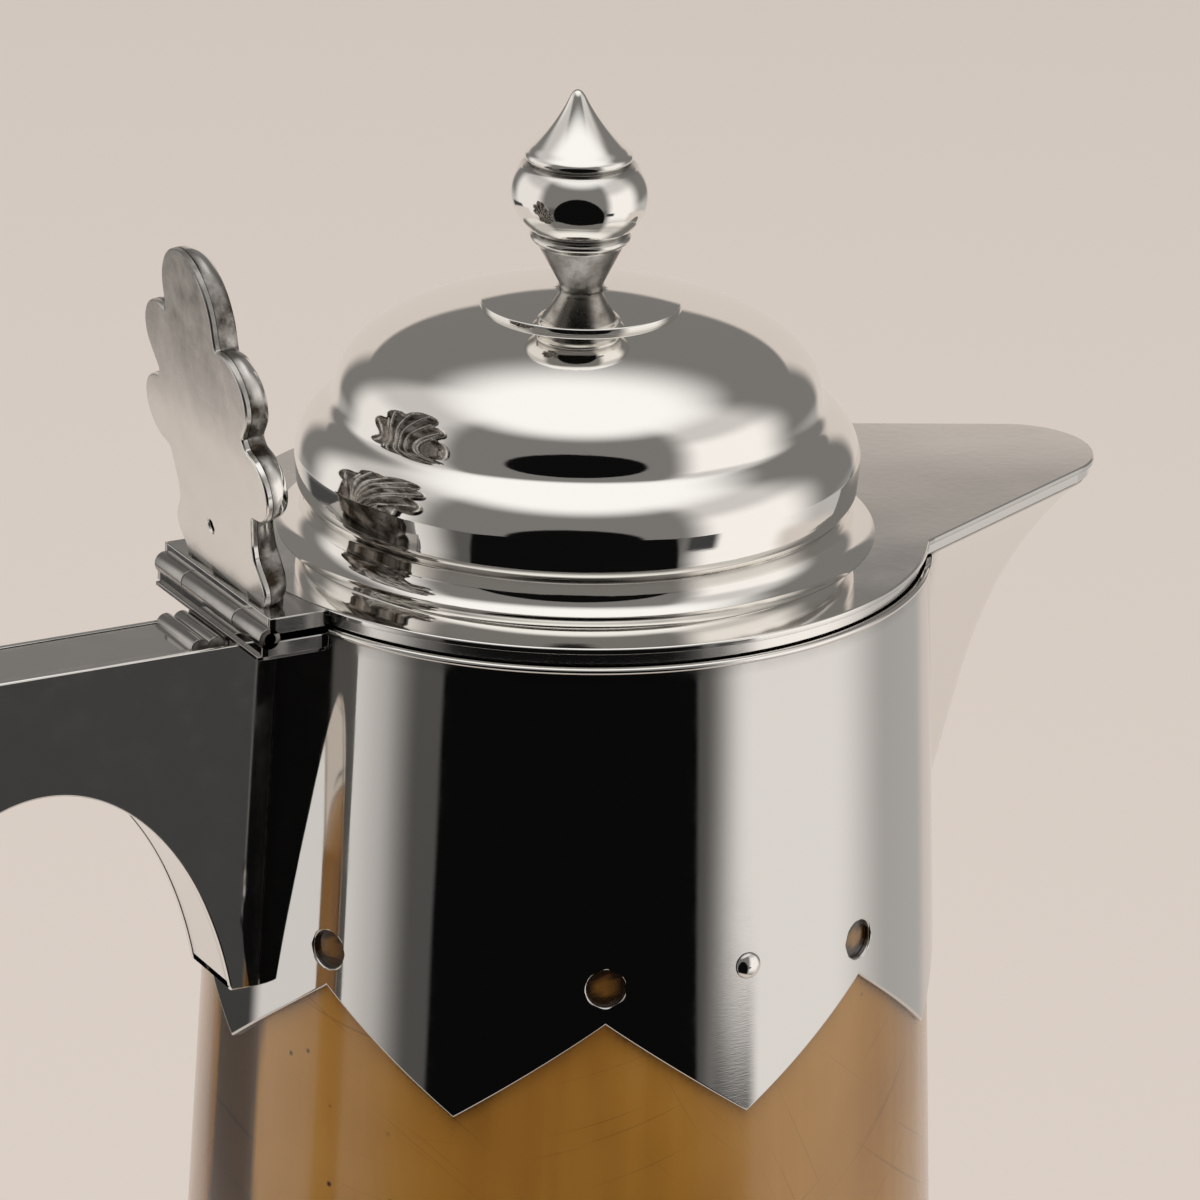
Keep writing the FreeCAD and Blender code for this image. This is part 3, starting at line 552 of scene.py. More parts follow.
foot_out = cone_radius(FOOT_TOP)
swell = (foot_out + (FOOT_REACH - foot_out) / 4, (FOOT_TOP + FOOT_EDGE) / 2)
foot_profile = np.concatenate([[(FOOT_REACH - 4.0, 0.0), (FOOT_REACH, 0.0)],
                               arc3((FOOT_REACH, FOOT_EDGE), swell, (foot_out, FOOT_TOP), 24),
                               [(foot_out - 0.6, FOOT_TOP)]])
add_lathe("foot_moulding", soften(foot_profile, 0.08, 0.18), MIRROR, "jug", ["foot_ring"], 0.4)

# Spout: sheet folded to a keeled trough, soldered to the collar over the pouring cut.
# Its keel is an ogee from the lip down to the root, and its nose is round.
SPOUT_ANGLE = math.radians(25.2)
SPOUT_WALL = 0.8
KEEL = np.array([(68.8, 1.0), (47.0, -13.0), (54.5, -36.0), (41.5, -50.0)])
NOSE_ROOT, NOSE_GAIN, NOSE_FALL = 3.0, 6.6, 2.2
NOSE_CUTS, SIDE_CUTS = 41, 26
LIP_EASE, LIP_ROUND = 0.06, 0.2


def spout_rows(t, inset, level=None):
    """Level sections of the trough at keel parameters t: side from the cone, round nose, side back."""
    t = np.atleast_1d(t)[:, None]
    u = 1 - t
    keel = u ** 3 * KEEL[0] + 3 * u * u * t * KEEL[1] + 3 * u * t * t * KEEL[2] + t ** 3 * KEEL[3]
    radius = NOSE_ROOT + NOSE_GAIN * u ** NOSE_FALL
    centre = keel[:, :1] - radius
    z = RIM + keel[:, 1:] if level is None else np.full_like(centre, level)
    radius = radius - inset
    turn = np.linspace(-math.pi / 2 + SPOUT_ANGLE, math.pi / 2 - SPOUT_ANGLE, NOSE_CUTS)
    nose_x = centre + radius * np.cos(turn)
    nose_y = radius * np.sin(turn)
    side_x, side_y = nose_x[:, -1:], nose_y[:, -1:]
    limit = cone_radius(z) - 0.03
    way_x, way_y = -math.cos(SPOUT_ANGLE), math.sin(SPOUT_ANGLE)
    half = side_x * way_x + side_y * way_y
    room = half ** 2 - (side_x ** 2 + side_y ** 2 - limit ** 2)
    run = np.clip(-half - np.sqrt(np.clip(room, 0, None)), 0, None)
    part = np.linspace(0, 1, SIDE_CUTS)[1:]
    flank_x = side_x + way_x * run * part
    flank_y = side_y + way_y * run * part
    x = np.concatenate([flank_x[:, ::-1], nose_x, flank_x], 1)
    y = np.concatenate([-flank_y[:, ::-1], nose_y, flank_y], 1)
    pull = np.maximum(1.0, limit / np.hypot(x, y))
    return np.stack([x * pull, y * pull, np.repeat(z, x.shape[1], 1)], -1)


spread = np.linspace(0, 1, 4001)
rise = 3 * (1 - spread) ** 2 * spread * KEEL[1, 1] + 3 * (1 - spread) * spread ** 2 * KEEL[2, 1]
rise += (1 - spread) ** 3 * KEEL[0, 1] + spread ** 3 * KEEL[3, 1]
lip = spread[np.argmax(rise <= 0)]
down = lip + (1 - lip) * np.linspace(0, 1, 110) ** 1.15
lip_line = ((SPOUT_WALL, LIP_ROUND), (SPOUT_WALL - LIP_EASE, LIP_EASE), (SPOUT_WALL - LIP_ROUND, 0.0),
            (LIP_ROUND, 0.0), (LIP_EASE, LIP_EASE), (0.0, LIP_ROUND))
trough = np.concatenate([spout_rows(down[:0:-1], SPOUT_WALL)]
                        + [spout_rows(lip, inset, RIM - drop) for inset, drop in lip_line]
                        + [spout_rows(down[1:], 0.0)])
rows, cols = trough.shape[:2]
points = trough.reshape(-1, 3)
off_cone = np.hypot(points[:, 0], points[:, 1]) - cone_radius(points[:, 2])
add_piece("spout_trough", points, [grid_faces(rows, cols, False)[:, ::-1]], MIRROR, "jug", ["spout"],
          np.exp(-np.clip(off_cone, 0, None) / 0.35) * 0.8)

# Handle: a hollow box. Two sawn side plates carry an outer strip and a grip strip set just below their edges.
# The seams are soldered, and dirt stays in the step beside each plate.
HANDLE_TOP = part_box("handle_near_side")[1][2] / MM
HANDLE_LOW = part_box("handle_near_side")[0][2] / MM
HANDLE_FAR = -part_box("handle_near_side")[0][0] / MM
HALF_WIDTH = -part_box("handle_near_side")[0][1] / MM
HANDLE_CORNER = 14.0
HANDLE_PROUD = 0.12
HANDLE_SHEET = 0.8
ARCH_X, ARCH_HALF = -68.84, 24.02
ARCH_TOP, ARCH_RISE = 133.2, 38.81
ARCH_LOW, ARCH_DROP = 66.0, 32.0
ARM_END = 144.5


def body_x(z):
    """Where the side plate meets the mount: x on the cone at the plate's own distance from the middle."""
    return -np.sqrt(cone_radius(np.asarray(z, dtype=float)) ** 2 - HALF_WIDTH ** 2)


def outer_path(inset):
    """Back line of the handle: from the collar along the top, round both corners, to the foot band."""
    far, top, low, radius = -HANDLE_FAR + inset, HANDLE_TOP - inset, HANDLE_LOW + inset, HANDLE_CORNER - inset
    return np.concatenate([[(body_x(top), top)], arc((far + radius, top - radius), radius, 90, 180, 40),
                           arc((far + radius, low + radius), radius, 180, 270, 40), [(body_x(low), low)]])


def inner_path(grow):
    """Grip line from the foot band: lower arch, straight back, upper arch, sawn end of the upper arm."""
    half, drop, lift = ARCH_HALF + grow, ARCH_DROP + grow, ARCH_RISE + grow
    low = arc((ARCH_X, ARCH_LOW), (half, drop), 0, -180, 160)
    low = low[low[:, 0] < body_x(low[:, 1]) + 0.02]
    high = arc((ARCH_X, ARCH_TOP), (half, lift), 180, 0, 160)
    return np.concatenate([low, high[high[:, 1] > ARM_END + grow]])


foot_side = np.linspace(HANDLE_LOW, inner_path(0.0)[0, 1], 30)[1:-1]
collar_side = np.linspace(ARM_END, HANDLE_TOP, 30)[:-1]
plate_loop = np.concatenate([outer_path(0.0), np.stack([body_x(foot_side), foot_side], -1), inner_path(0.0),
                             [(inner_path(0.0)[-1, 0] + 0.4, ARM_END)],
                             np.stack([body_x(collar_side), collar_side], -1)])
plate_loop = even(plate_loop, 2.5)
for name, side in (("near", -1), ("far", 1)):
    loop = plate_loop if side < 0 else (plate_loop * (-1, 1))[::-1]

    def upright(uv, depth):
        across = np.full(len(uv), side * (HALF_WIDTH - depth))
        return np.stack([-side * uv[:, 0], across, uv[:, 1]], -1)

    points, faces, normals = sheet([loop], scatter(loop, 2.0, 0.8), lambda uv: inside(loop, uv), upright,
                                   HANDLE_SHEET, 0.22)
    near_body = np.exp(-np.abs(points[:, 0] - body_x(points[:, 2])) / 0.4) * 0.7
    add_piece("handle_plate_" + name, points, faces, MIRROR, "jug", ["handle_%s_side" % name],
              near_body, normals)


def add_strip(name, path, nodes):
    """A path in the X-Z plane carried across the handle between its plates, facing left of the path's run."""
    inner = HALF_WIDTH - HANDLE_SHEET
    across = np.linspace(-inner, inner, 23)
    points = np.stack([np.repeat(path[:, :1], 23, 1), np.repeat(across[None], len(path), 0),
                       np.repeat(path[:, 1:], 23, 1)], -1).reshape(-1, 3)
    ahead = np.gradient(path, axis=0)
    ahead /= np.linalg.norm(ahead, axis=1)[:, None]
    normals = np.repeat(np.stack([ahead[:, 1], np.zeros(len(path)), -ahead[:, 0]], -1), 23, 0)
    step = np.tile(np.exp(-(inner - np.abs(across)) / 0.3) * 0.9, len(path))
    add_piece(name, points, [grid_faces(len(path), 23, False)], MIRROR, "jug", nodes, step, normals)


def evened(path, step):
    length = np.concatenate([[0.0], np.cumsum(np.linalg.norm(np.diff(path, axis=0), axis=1))])
    cuts = np.linspace(0, length[-1], int(length[-1] / step))
    return np.stack([np.interp(cuts, length, path[:, k]) for k in (0, 1)], -1)


add_strip("handle_back", evened(outer_path(HANDLE_PROUD), 0.8), ["handle_back_strip"])
add_strip("handle_grip", evened(inner_path(HANDLE_PROUD), 0.8), ["handle_grip_strip"])
end_level = ARM_END + HANDLE_PROUD
end_path = np.array([(inner_path(HANDLE_PROUD)[-1, 0], end_level), (body_x(end_level) + 0.3, end_level)])
add_strip("handle_arm_end", evened(end_path, 0.4), ["handle_grip_strip"])

# Reeded moulding and hinge: two half-round reeds and a sole plate on the handle top, then the fixed leaf,
# the three-knuckle barrel with its pin, and the moving leaf that is butted to the lid.
REEDS = (-47.5, -49.5)
REED = 1.1
HINGE_X, HINGE_Z, HINGE_HALF = -45.33, 189.81, 13.6
KNUCKLE, KNUCKLE_HALF, KNUCKLE_GAP = 1.3, 6.5, 0.06
SOLE_REAR, SOLE_HALF, LEAF_REAR = -46.6, 13.2, -46.2
LID_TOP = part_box("lid_plate")[1][2] / MM
LID_RADIUS = 40.5


def across_y(profile, x, z, steps=48):
    """A turned profile of (radius, y) rows laid along the Y axis at one x and z."""
    points, faces = lathe(profile, np.arange(steps) * TURN / steps, True)
    return np.stack([x + points[:, 0], points[:, 2], z - points[:, 1]], -1), faces


def barrel(radius, low, high, ease):
    """Closed barrel profile from low to high with ends eased by a small quarter round."""
    turn = np.radians(np.linspace(0, 90, 6))
    head = np.stack([radius - ease + ease * np.cos(turn), high - ease + ease * np.sin(turn)], -1)
    tail = np.stack([head[::-1, 0], low + high - head[::-1, 1]], -1)
    return np.concatenate([[(0.001, low)], tail, head, [(0.001, high)]])


def add_barrel(name, radius, low, high, x, z, body, nodes):
    profile = barrel(radius, low, high, 0.12)
    points, faces = across_y(profile, x, z)
    ends = np.minimum(np.abs(points[:, 1] - low), np.abs(points[:, 1] - high))
    # The lower side of each barrel is painted darker as painted shade; the ends keep dirt in the joints.
    under = np.clip((z - points[:, 2]) / radius + 0.3, 0, 1) * 0.5
    add_piece(name, points, [faces], DARK, body, nodes, np.exp(-ends / 0.10) * 0.8 + under)


def laid_at(top):
    """Placing rule for a level sheet whose upper face is at one height."""
    return lambda uv, depth: np.stack([uv[:, 0], uv[:, 1], np.full(len(uv), top) - depth], -1)


def add_leaf(name, loop, top, thick, body, nodes, dirt_x):
    loop = even(np.asarray(loop), 0.8)
    points, faces, normals = sheet([loop], scatter(loop, 0.8, 0.4), lambda uv: inside(loop, uv), laid_at(top),
                                   thick, 0.15, True)
    darkening = np.exp(-np.abs(points[:, 0] - dirt_x) / 0.5) * 0.7
    add_piece(name, points, faces, DARK, body, nodes, darkening, normals)


def leaf_loop(rear, half, radius):
    """Plan of a leaf: straight back and ends, front edge on a circle round the body axis."""
    reach = math.degrees(math.asin(half / radius))
    return np.concatenate([[(rear, half), (rear, -half)], arc((0, 0), radius, 180 + reach, 180 - reach, 24)])


inner = HALF_WIDTH - HANDLE_SHEET
for name, x in zip(("front", "back"), REEDS):
    add_barrel("reed_" + name, REED, -inner, inner, x, HANDLE_TOP - HANDLE_PROUD, "jug", ["handle_moulding"])
for name, rear, half, level, top, thick, node, dirt_x in (
        ("reed_filler", SOLE_REAR, inner, 187.0, 187.3, 1.2, "handle_moulding", SOLE_REAR),
        ("hinge_sole", SOLE_REAR, SOLE_HALF, 187.5, 187.8, 0.5, "hinge_sole_plate", LEAF_REAR),
        ("hinge_fixed_leaf", LEAF_REAR, HINGE_HALF, 188.6, 189.45, 1.65, "hinge_lower_leaf", -44.0)):
    add_leaf(name, leaf_loop(rear, half, cone_radius(level)), top, thick, "jug", [node], dirt_x)
start = KNUCKLE_HALF + KNUCKLE_GAP
for name, low, high, body, node in (("near", -HINGE_HALF, -start, "jug", "hinge_lower_leaf"),
                                    ("far", start, HINGE_HALF, "jug", "hinge_lower_leaf"),
                                    ("middle", -KNUCKLE_HALF, KNUCKLE_HALF, "lid", "hinge_upper_leaf")):
    add_barrel("knuckle_" + name, KNUCKLE, low, high, HINGE_X, HINGE_Z, body, [node])
add_leaf("hinge_lid_leaf", leaf_loop(HINGE_X, HINGE_HALF, LID_RADIUS), LID_TOP, 1.85, "lid",
         ["hinge_upper_leaf"], -40.0)

# Lid plate: flat sheet with a tongue over the spout, pierced under the dome.
# The edge is filed round, and a deeper band is soldered under it.
LID_SHEET = 0.7
LID_HOLE = 29.5
FLAP_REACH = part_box("lid_plate")[1][0] / MM
FLAP_TIP = 9.6
FLAP_CORNER = 33.7
nose_turn = 90 - math.degrees(SPOUT_ANGLE)
nose = arc((FLAP_REACH - FLAP_TIP, 0), FLAP_TIP, -nose_turn, nose_turn, 40)
corner_y = nose[-1, 1] + (nose[-1, 0] - FLAP_CORNER) * math.tan(SPOUT_ANGLE)
corner_turn = math.degrees(math.atan2(corner_y, FLAP_CORNER))
lid_loop = np.concatenate([nose, arc((0, 0), LID_RADIUS, corner_turn, 360 - corner_turn, 260)])
lid_loop = even(lid_loop, 1.2)
hole_loop = arc((0, 0), LID_HOLE, 0, -358, 180)
plate_points = scatter(lid_loop, 1.5, 0.6)
plate_points = plate_points[np.hypot(plate_points[:, 0], plate_points[:, 1]) > LID_HOLE + 0.8]
points, faces, normals = sheet(
    [lid_loop, hole_loop], plate_points,
    lambda uv: inside(lid_loop, uv) & (np.hypot(uv[:, 0], uv[:, 1]) > LID_HOLE - 0.3),
    laid_at(LID_TOP), LID_SHEET, 0.22, True)
add_piece("lid_sheet", points, faces, MIRROR, "lid", ["lid_plate"],
          np.where(points[:, 2] < LID_TOP - 0.5, 0.25, 0.0), normals)

# Dome: raised in two soft tiers from one sheet, with a cove spreading to the plate at its foot.
# Tarnish stays in the groove above the cove.
DOME_SHEET = 0.8
GROOVE_RADIUS, GROOVE = 31.1, 196.4
COVE_FOOT, COVE_RISE, COVE_SIZE = 34.2, 2.62, (3.15, 2.6)
TIER_LOW, TIER_TOP = (32.02, 198.2), (32.2, 201.5)
CAP_RADIUS, CAP_LEVEL, CAP_RISE, CAP_POWER = 27.8, 207.8, 11.4, 2.2
cap_turn = np.linspace(0, math.pi / 2, 120)[6:]
cap = np.stack([CAP_RADIUS * np.cos(cap_turn) ** (2 / CAP_POWER),
                CAP_LEVEL + CAP_RISE * np.sin(cap_turn) ** (2 / CAP_POWER)], -1)
lower_line = np.concatenate([arc((COVE_FOOT, LID_TOP + COVE_RISE), COVE_SIZE, 270, 180, 40),
                             [(GROOVE_RADIUS, GROOVE)],
                             arc3((GROOVE_RADIUS, GROOVE), (31.78, 197.1), TIER_LOW, 12)[1:],
                             arc3(TIER_LOW, (32.16, 199.9), TIER_TOP, 14)[1:]])
upper_line = np.concatenate([arc3(TIER_TOP, (30.5, 205.1), (28.0, 206.75), 28), cap])
dome_outer = np.concatenate([soften(lower_line, 0.10, 0.28), soften(upper_line, 0.10, 0.80)[1:]])
lean = np.gradient(dome_outer, axis=0)
lean /= np.linalg.norm(lean, axis=1)[:, None]
dome_inner = dome_outer - DOME_SHEET * np.stack([lean[:, 1], -lean[:, 0]], -1)
dome_inner[:, 0] = np.clip(dome_inner[:, 0], 0.0, None)
dome_inner = dome_inner[dome_inner[:, 1] > LID_TOP - LID_SHEET]
points, faces = lathe(dome_outer, np.arange(360) * TURN / 360, True)
groove = np.exp(-np.abs(points[:, 2] - GROOVE) / 0.22)
around = np.arctan2(points[:, 1], points[:, 0])
groove *= 0.55 + 0.3 * np.sin(3 * around + 0.6) + 0.25 * np.sin(17 * around) * np.sin(29 * around)
add_piece("dome_shell", points, [faces], MIRROR, "lid", ["lid_dome"], np.clip(groove, 0, 1))
add_lathe("dome_inside", soften(dome_inner[::-1], 0.4, 0.8), DULL, "lid", ["lid_dome"], 0.0, 180)

# Finial: a low disc, then a turned knob with a coned foot, a bulb and an onion tip.
# The knob is soldered to the disc, which leaves a ragged dark ring, and a stud and nut hold both to the dome.
DISC_RADIUS, DISC_SEAT, DISC_SHEET, DISC_RISE = 11.5, 218.35, 0.7, 1.3
KNOB_FOOT = DISC_SEAT + DISC_SHEET + DISC_RISE
NECK_TOP, RING_LOW, RING_HIGH, KNOB_TIP = 225.8, 227.05, 235.2, 243.5
KNOB_LEAN = np.array([-0.80, 0.45])
ball = (DISC_RADIUS ** 2 + DISC_RISE ** 2) / (2 * DISC_RISE)
disc_r = np.linspace(DISC_RADIUS, 0, 60)
disc_top = np.stack([disc_r, KNOB_FOOT + np.sqrt(ball ** 2 - disc_r ** 2) - ball], -1)
disc_line = np.concatenate([[(DISC_RADIUS - 3, DISC_SEAT + 0.6), (DISC_RADIUS, DISC_SEAT)], disc_top])
disc = soften(disc_line, 0.08, 0.10)
points, faces = lathe(disc, ROUND, True)
radius = np.hypot(points[:, 0], points[:, 1])
around = np.arctan2(points[:, 1], points[:, 0])
ragged = 2.85 + 0.12 * np.sin(7 * around + 0.4) + 0.10 * np.sin(13 * around)
ragged += 0.08 * np.sin(29 * around + 2.0)
solder = 1 / (1 + np.exp((radius - ragged) / 0.07)) * (points[:, 2] > DISC_SEAT + 1.0) * 0.8
add_piece("finial_plate", points, [faces], MIRROR, "lid", ["finial_disc"], solder)
knob_line = np.concatenate([
    [(2.5, KNOB_FOOT - 0.1), (2.5, 220.9), (4.95, 225.65), (5.5, 226.0)],
    arc3((5.5, 226.0), (5.78, 226.45), (5.5, 226.9), 10)[1:], [(5.3, RING_LOW), (5.55, 227.25)],
    arc3((5.55, 227.25), (7.87, 231.2), (6.6, 234.8), 44)[1:], [(5.75, RING_HIGH)],
    arc3((5.85, 235.3), (6.15, 235.85), (5.75, 236.5), 14),
    arc3((5.2, 237.1), (2.95, 239.5), (0.8, 242.95), 24), [(0.45, 243.4), (0.0, KNOB_TIP)]])
knob = soften(knob_line, 0.06, 0.16)
points, faces = lathe(knob, np.arange(120) * TURN / 120, True)
rings = np.minimum(np.abs(points[:, 2] - RING_LOW), np.abs(points[:, 2] - RING_HIGH))
points[:, :2] += KNOB_LEAN * ((points[:, 2] - KNOB_FOOT) / (KNOB_TIP - KNOB_FOOT))[:, None]
# The coned foot under the bulb is painted darker: painted shade.
neck_painted_shade = np.clip((NECK_TOP - points[:, 2]) / 0.4, 0, 1) * 0.68
add_piece("finial_turning", points, [faces], MIRROR, "lid", ["finial_knob"],
          np.exp(-rings / 0.28) * 0.95 + neck_painted_shade)

# Thumbpiece: a cast palmette of lobes with a flat satin back plate soldered behind it.
# The front is dished between its ribs, with a rolled edge, and the back has one small vent hole.
THUMB_X, THUMB_LEAN = -44.22, math.radians(8.2)
THUMB_BACK = 0.8
THUMB_DEPTH = 2.4
THUMB_SKEW = 0.10
BULGE, BULGE_AT = 2.6, 13.0
# Height and strength of the painted shade on the upper back plate.
TOP_SHADE_FROM, TOP_SHADE_OVER, TOP_SHADE_MOST = 17.0, 14.0, 0.62
HUB = np.array([0.0, 16.0])
LOBES = ((7.8, 27.8, 4.6), (11.0, 18.2, 4.0), (8.4, 5.0, 2.6))
CROWN = (34.6, 6.1, 6.9)
CORE = np.array([(9.4, 1.0), (9.2, 10.0), (10.2, 14.5), (10.8, 22.4), (5.7, 31.8)])
RIB_ROOT = np.array([0.0, 8.0])
RIB_ENDS = np.array([(0, 38.6), (4.6, 31.6), (9.8, 28.8), (8.6, 22.6), (12.4, 18.6)])
VENT = (1.5, 8.0, 0.7)


def palmette_reach(angles):
    """Outermost distance from the hub at which each ray still lies in a lobe, the crown or the core."""
    reach = np.linspace(0.5, 28.0, 1400)
    y = HUB[0] + np.outer(np.cos(angles), reach)
    s = HUB[1] + np.outer(np.sin(angles), reach)
    hit = (y / CROWN[1]) ** 2 + ((s - CROWN[0]) / CROWN[2]) ** 2 < 1
    for cy, cs, radius in LOBES:
        hit |= (np.abs(y) - cy) ** 2 + (s - cs) ** 2 < radius ** 2
    hit |= (np.abs(y) < np.interp(s, CORE[:, 1], CORE[:, 0])) & (s > CORE[0, 1]) & (s < CORE[-1, 1])
    return (hit * reach).max(1)


def leaned(x, y, s):
    """Local depth, width and height of the thumbpiece, leaned back over the handle and set on the lid."""
    c, k = math.cos(THUMB_LEAN), math.sin(THUMB_LEAN)
    s = s + THUMB_SKEW * y
    placed = np.stack([THUMB_X + x * c - s * k, y, RIM + x * k + s * c], -1)
    placed[:, 2] = np.maximum(placed[:, 2], LID_TOP - 0.1)
    return placed


fan = np.arange(540) * TURN / 540
reach = palmette_reach(fan)
reach = np.convolve(np.pad(reach, 4, mode="wrap"), np.hanning(11)[1:-1] / np.hanning(11).sum(), "valid")
outline = HUB + reach[:, None] * np.stack([np.cos(fan), np.sin(fan)], -1)
back_loop = (outline * (-1, 1))[::-1]
vent_loop = arc((-VENT[0], VENT[1]), VENT[2], 0, -340, 18)
back_points = scatter(back_loop, 0.9, 0.5)
back_points = back_points[np.hypot(back_points[:, 0] + VENT[0], back_points[:, 1] - VENT[1]) > VENT[2] + 0.4]
points, faces, normals = sheet([back_loop, vent_loop], back_points,
                               lambda uv: np.hypot(uv[:, 0] + VENT[0], uv[:, 1] - VENT[1]) > VENT[2],
                               lambda uv, depth: leaned(np.zeros(len(uv)) + depth, -uv[:, 0], uv[:, 1]),
                               THUMB_BACK, 0.3)
low_dirt = np.exp(-np.clip(points[:, 2] - LID_TOP, 0, None) / 0.7) * 0.8
# The upper part of the back plate is painted darker: painted shade.
top_painted_shade = np.clip((points[:, 2] - LID_TOP - TOP_SHADE_FROM) / TOP_SHADE_OVER, 0, 1) * TOP_SHADE_MOST
add_piece("thumb_back_plate", points, faces, SATIN, "lid", ["thumbpiece_back"], low_dirt + top_painted_shade, normals)

inward = np.concatenate([[0.0], np.linspace(0.02, 1.0, 50) ** 1.4])
y = HUB[0] + (outline[None, :, 0] - HUB[0]) * (1 - inward[:, None])
s = HUB[1] + (outline[None, :, 1] - HUB[1]) * (1 - inward[:, None])
inset = reach[None] * inward[:, None]
edge = np.clip(inset / 1.5, 0, 1)
relief = THUMB_DEPTH * np.sqrt(1 - (1 - edge) ** 2)
dish = np.clip((inset - 1.2) / 2.6, 0, 1)
relief -= 1.0 * dish * dish * (3 - 2 * dish)
for end in np.concatenate([RIB_ENDS, RIB_ENDS[1:] * (-1, 1)]):
    way = end - RIB_ROOT
    along = np.clip(((y - RIB_ROOT[0]) * way[0] + (s - RIB_ROOT[1]) * way[1]) / (way @ way), 0, 1)
    away = np.hypot(y - RIB_ROOT[0] - along * way[0], s - RIB_ROOT[1] - along * way[1])
    relief = np.maximum(relief, (2.0 + 0.5 * along) * np.exp(-(away / 1.0) ** 2) * np.clip(inset / 1.0, 0, 1))
ribs = relief.copy()
swell = np.exp(-(y / 8.0) ** 2 - ((s - BULGE_AT) / 8.5) ** 2) * np.clip((inset - 0.8) / 4.0, 0, 1)
relief += BULGE * swell * (2 - swell)
front = leaned((THUMB_BACK + relief).ravel(), y.ravel(), s.ravel())
front_faces = grid_faces(len(inward), len(fan), True)
low_dirt = np.exp(-np.clip(front[:, 2] - LID_TOP, 0, None) / 1.0) * 0.6
seam = np.exp(-relief.ravel() / 0.25) * 0.8
crest = np.max([np.roll(reach, shift) for shift in range(-16, 17)], axis=0)
notch = (np.clip((crest - reach) / 1.6, 0, 1)[None] * np.clip((3.0 - inset) / 1.0, 0, 1)).ravel() * 0.9
# The front inside its rolled edge is painted darker, more between the ribs: tarnish in the flutes and painted
# shade over the dished front.
valley_tarnish_and_shade = 0.60 + 0.35 * np.clip((2.1 - ribs.ravel()) / 0.6, 0, 1)
valley_tarnish_and_shade *= np.clip((inset.ravel() - 1.0) / 0.8, 0, 1)
add_piece("thumb_front_shell", front, [front_faces], MIRROR, "lid", ["thumbpiece_front"],
          np.clip(low_dirt + seam + valley_tarnish_and_shade + notch, 0, 1))

# Parts that stay as the CAD made them: tube ends, plug, lining, base plate, bezel, edge band and fixings.
# They are flat or hidden, so they take their finish only.
STEEL = silver("fixing metal", 0.30, 0.0, "fixing_metal")
FINISHES = (("horn_body", HORN), ("base_plug", HORN), ("rim_lining", DULL), ("base_plate", DULL),
            ("lid_bezel", DULL), ("lid_edge_band", SATIN), ("hinge_pin", STEEL), ("finial_stud", STEEL),
            ("finial_washer", STEEL), ("finial_nut", STEEL))
for node, finish in FINISHES:
    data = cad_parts[node].data
    data.materials.clear()
    data.materials.append(finish)

# Studio: a pale table, one soft lamp, and a dim tent with white sheets at its sides and a gap towards the camera.
# The silver shows the gap as black bands. Two dark cards shade the handle's side and the horn's left edge.
# The panels' places suit the photograph's view. Bearings are from the camera, and angles are in degrees.
CAMERA_TURN = math.radians(240.925)
BACKDROP = (0.687, 0.617, 0.565, 1.0)
scene = bpy.context.scene
floor_mesh = bpy.data.meshes.new("floor")
SPAN = 6.0
corners = [(-SPAN, -SPAN, 0), (SPAN, -SPAN, 0), (SPAN, SPAN, 0), (-SPAN, SPAN, 0)]
floor_mesh.from_pydata(corners, [], [(0, 1, 2, 3)])
floor = bpy.data.objects.new("floor", floor_mesh)
scene.collection.objects.link(floor)
floor.visible_glossy = False
floor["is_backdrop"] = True
table = bpy.data.materials.new("pale table")
table.use_nodes = True
cloth = table.node_tree.nodes["Principled BSDF"]
cloth.inputs["Base Color"].default_value = BACKDROP
cloth.inputs["Roughness"].default_value = 0.9
cloth.inputs["Specular IOR Level"].default_value = 0.0
floor_mesh.materials.append(table)

world = bpy.data.worlds.new("tent")
scene.world = world
world.use_nodes = True
sky = world.node_tree
sky.nodes.clear()
look = add_node(sky, "ShaderNodeTexCoord").outputs["Generated"]
turned = add_node(sky, "ShaderNodeVectorRotate", {"Vector": look, "Angle": -CAMERA_TURN},
                  rotation_type="Z_AXIS").outputs[0]
axes = add_node(sky, "ShaderNodeSeparateXYZ", {"Vector": turned}).outputs
bearing = maths(sky, "ARCTAN2", axes["Y"], axes["X"])
turn_away = maths(sky, "ABSOLUTE", bearing)
tilt = maths(sky, "ARCSINE", axes["Z"])


def cloth_colour(level):
    """Slightly warm cloth at one brightness."""
    return (level, level * 0.965, level * 0.93, 1.0)


def ease(value, start, end):
    """Mask that eases from 0 at start to 1 at end."""
    return add_node(sky, "ShaderNodeMapRange", {"Value": value, "From Min": start, "From Max": end},
                    interpolation_type="SMOOTHSTEP").outputs[0]


def sweep(angle, start, end):
    return ease(angle, math.radians(start), math.radians(end))


def both(one, other):
    return maths(sky, "MULTIPLY", one, other)


def span(angle, low, full_low, full_high, high):
    """Mask of 1 between two angles that fades to 0 at the outer two."""
    return both(sweep(angle, low, full_low), sweep(angle, high, full_high))


def square(angle, middle, reach):
    """((angle - middle) / reach) squared."""
    off = maths(sky, "MULTIPLY_ADD", angle, 1 / math.radians(reach), -middle / reach)
    return both(off, off)


def hang(under, mask, over):
    """Lays one part of the tent over what is behind it."""
    return mix(sky, mask, under, over)


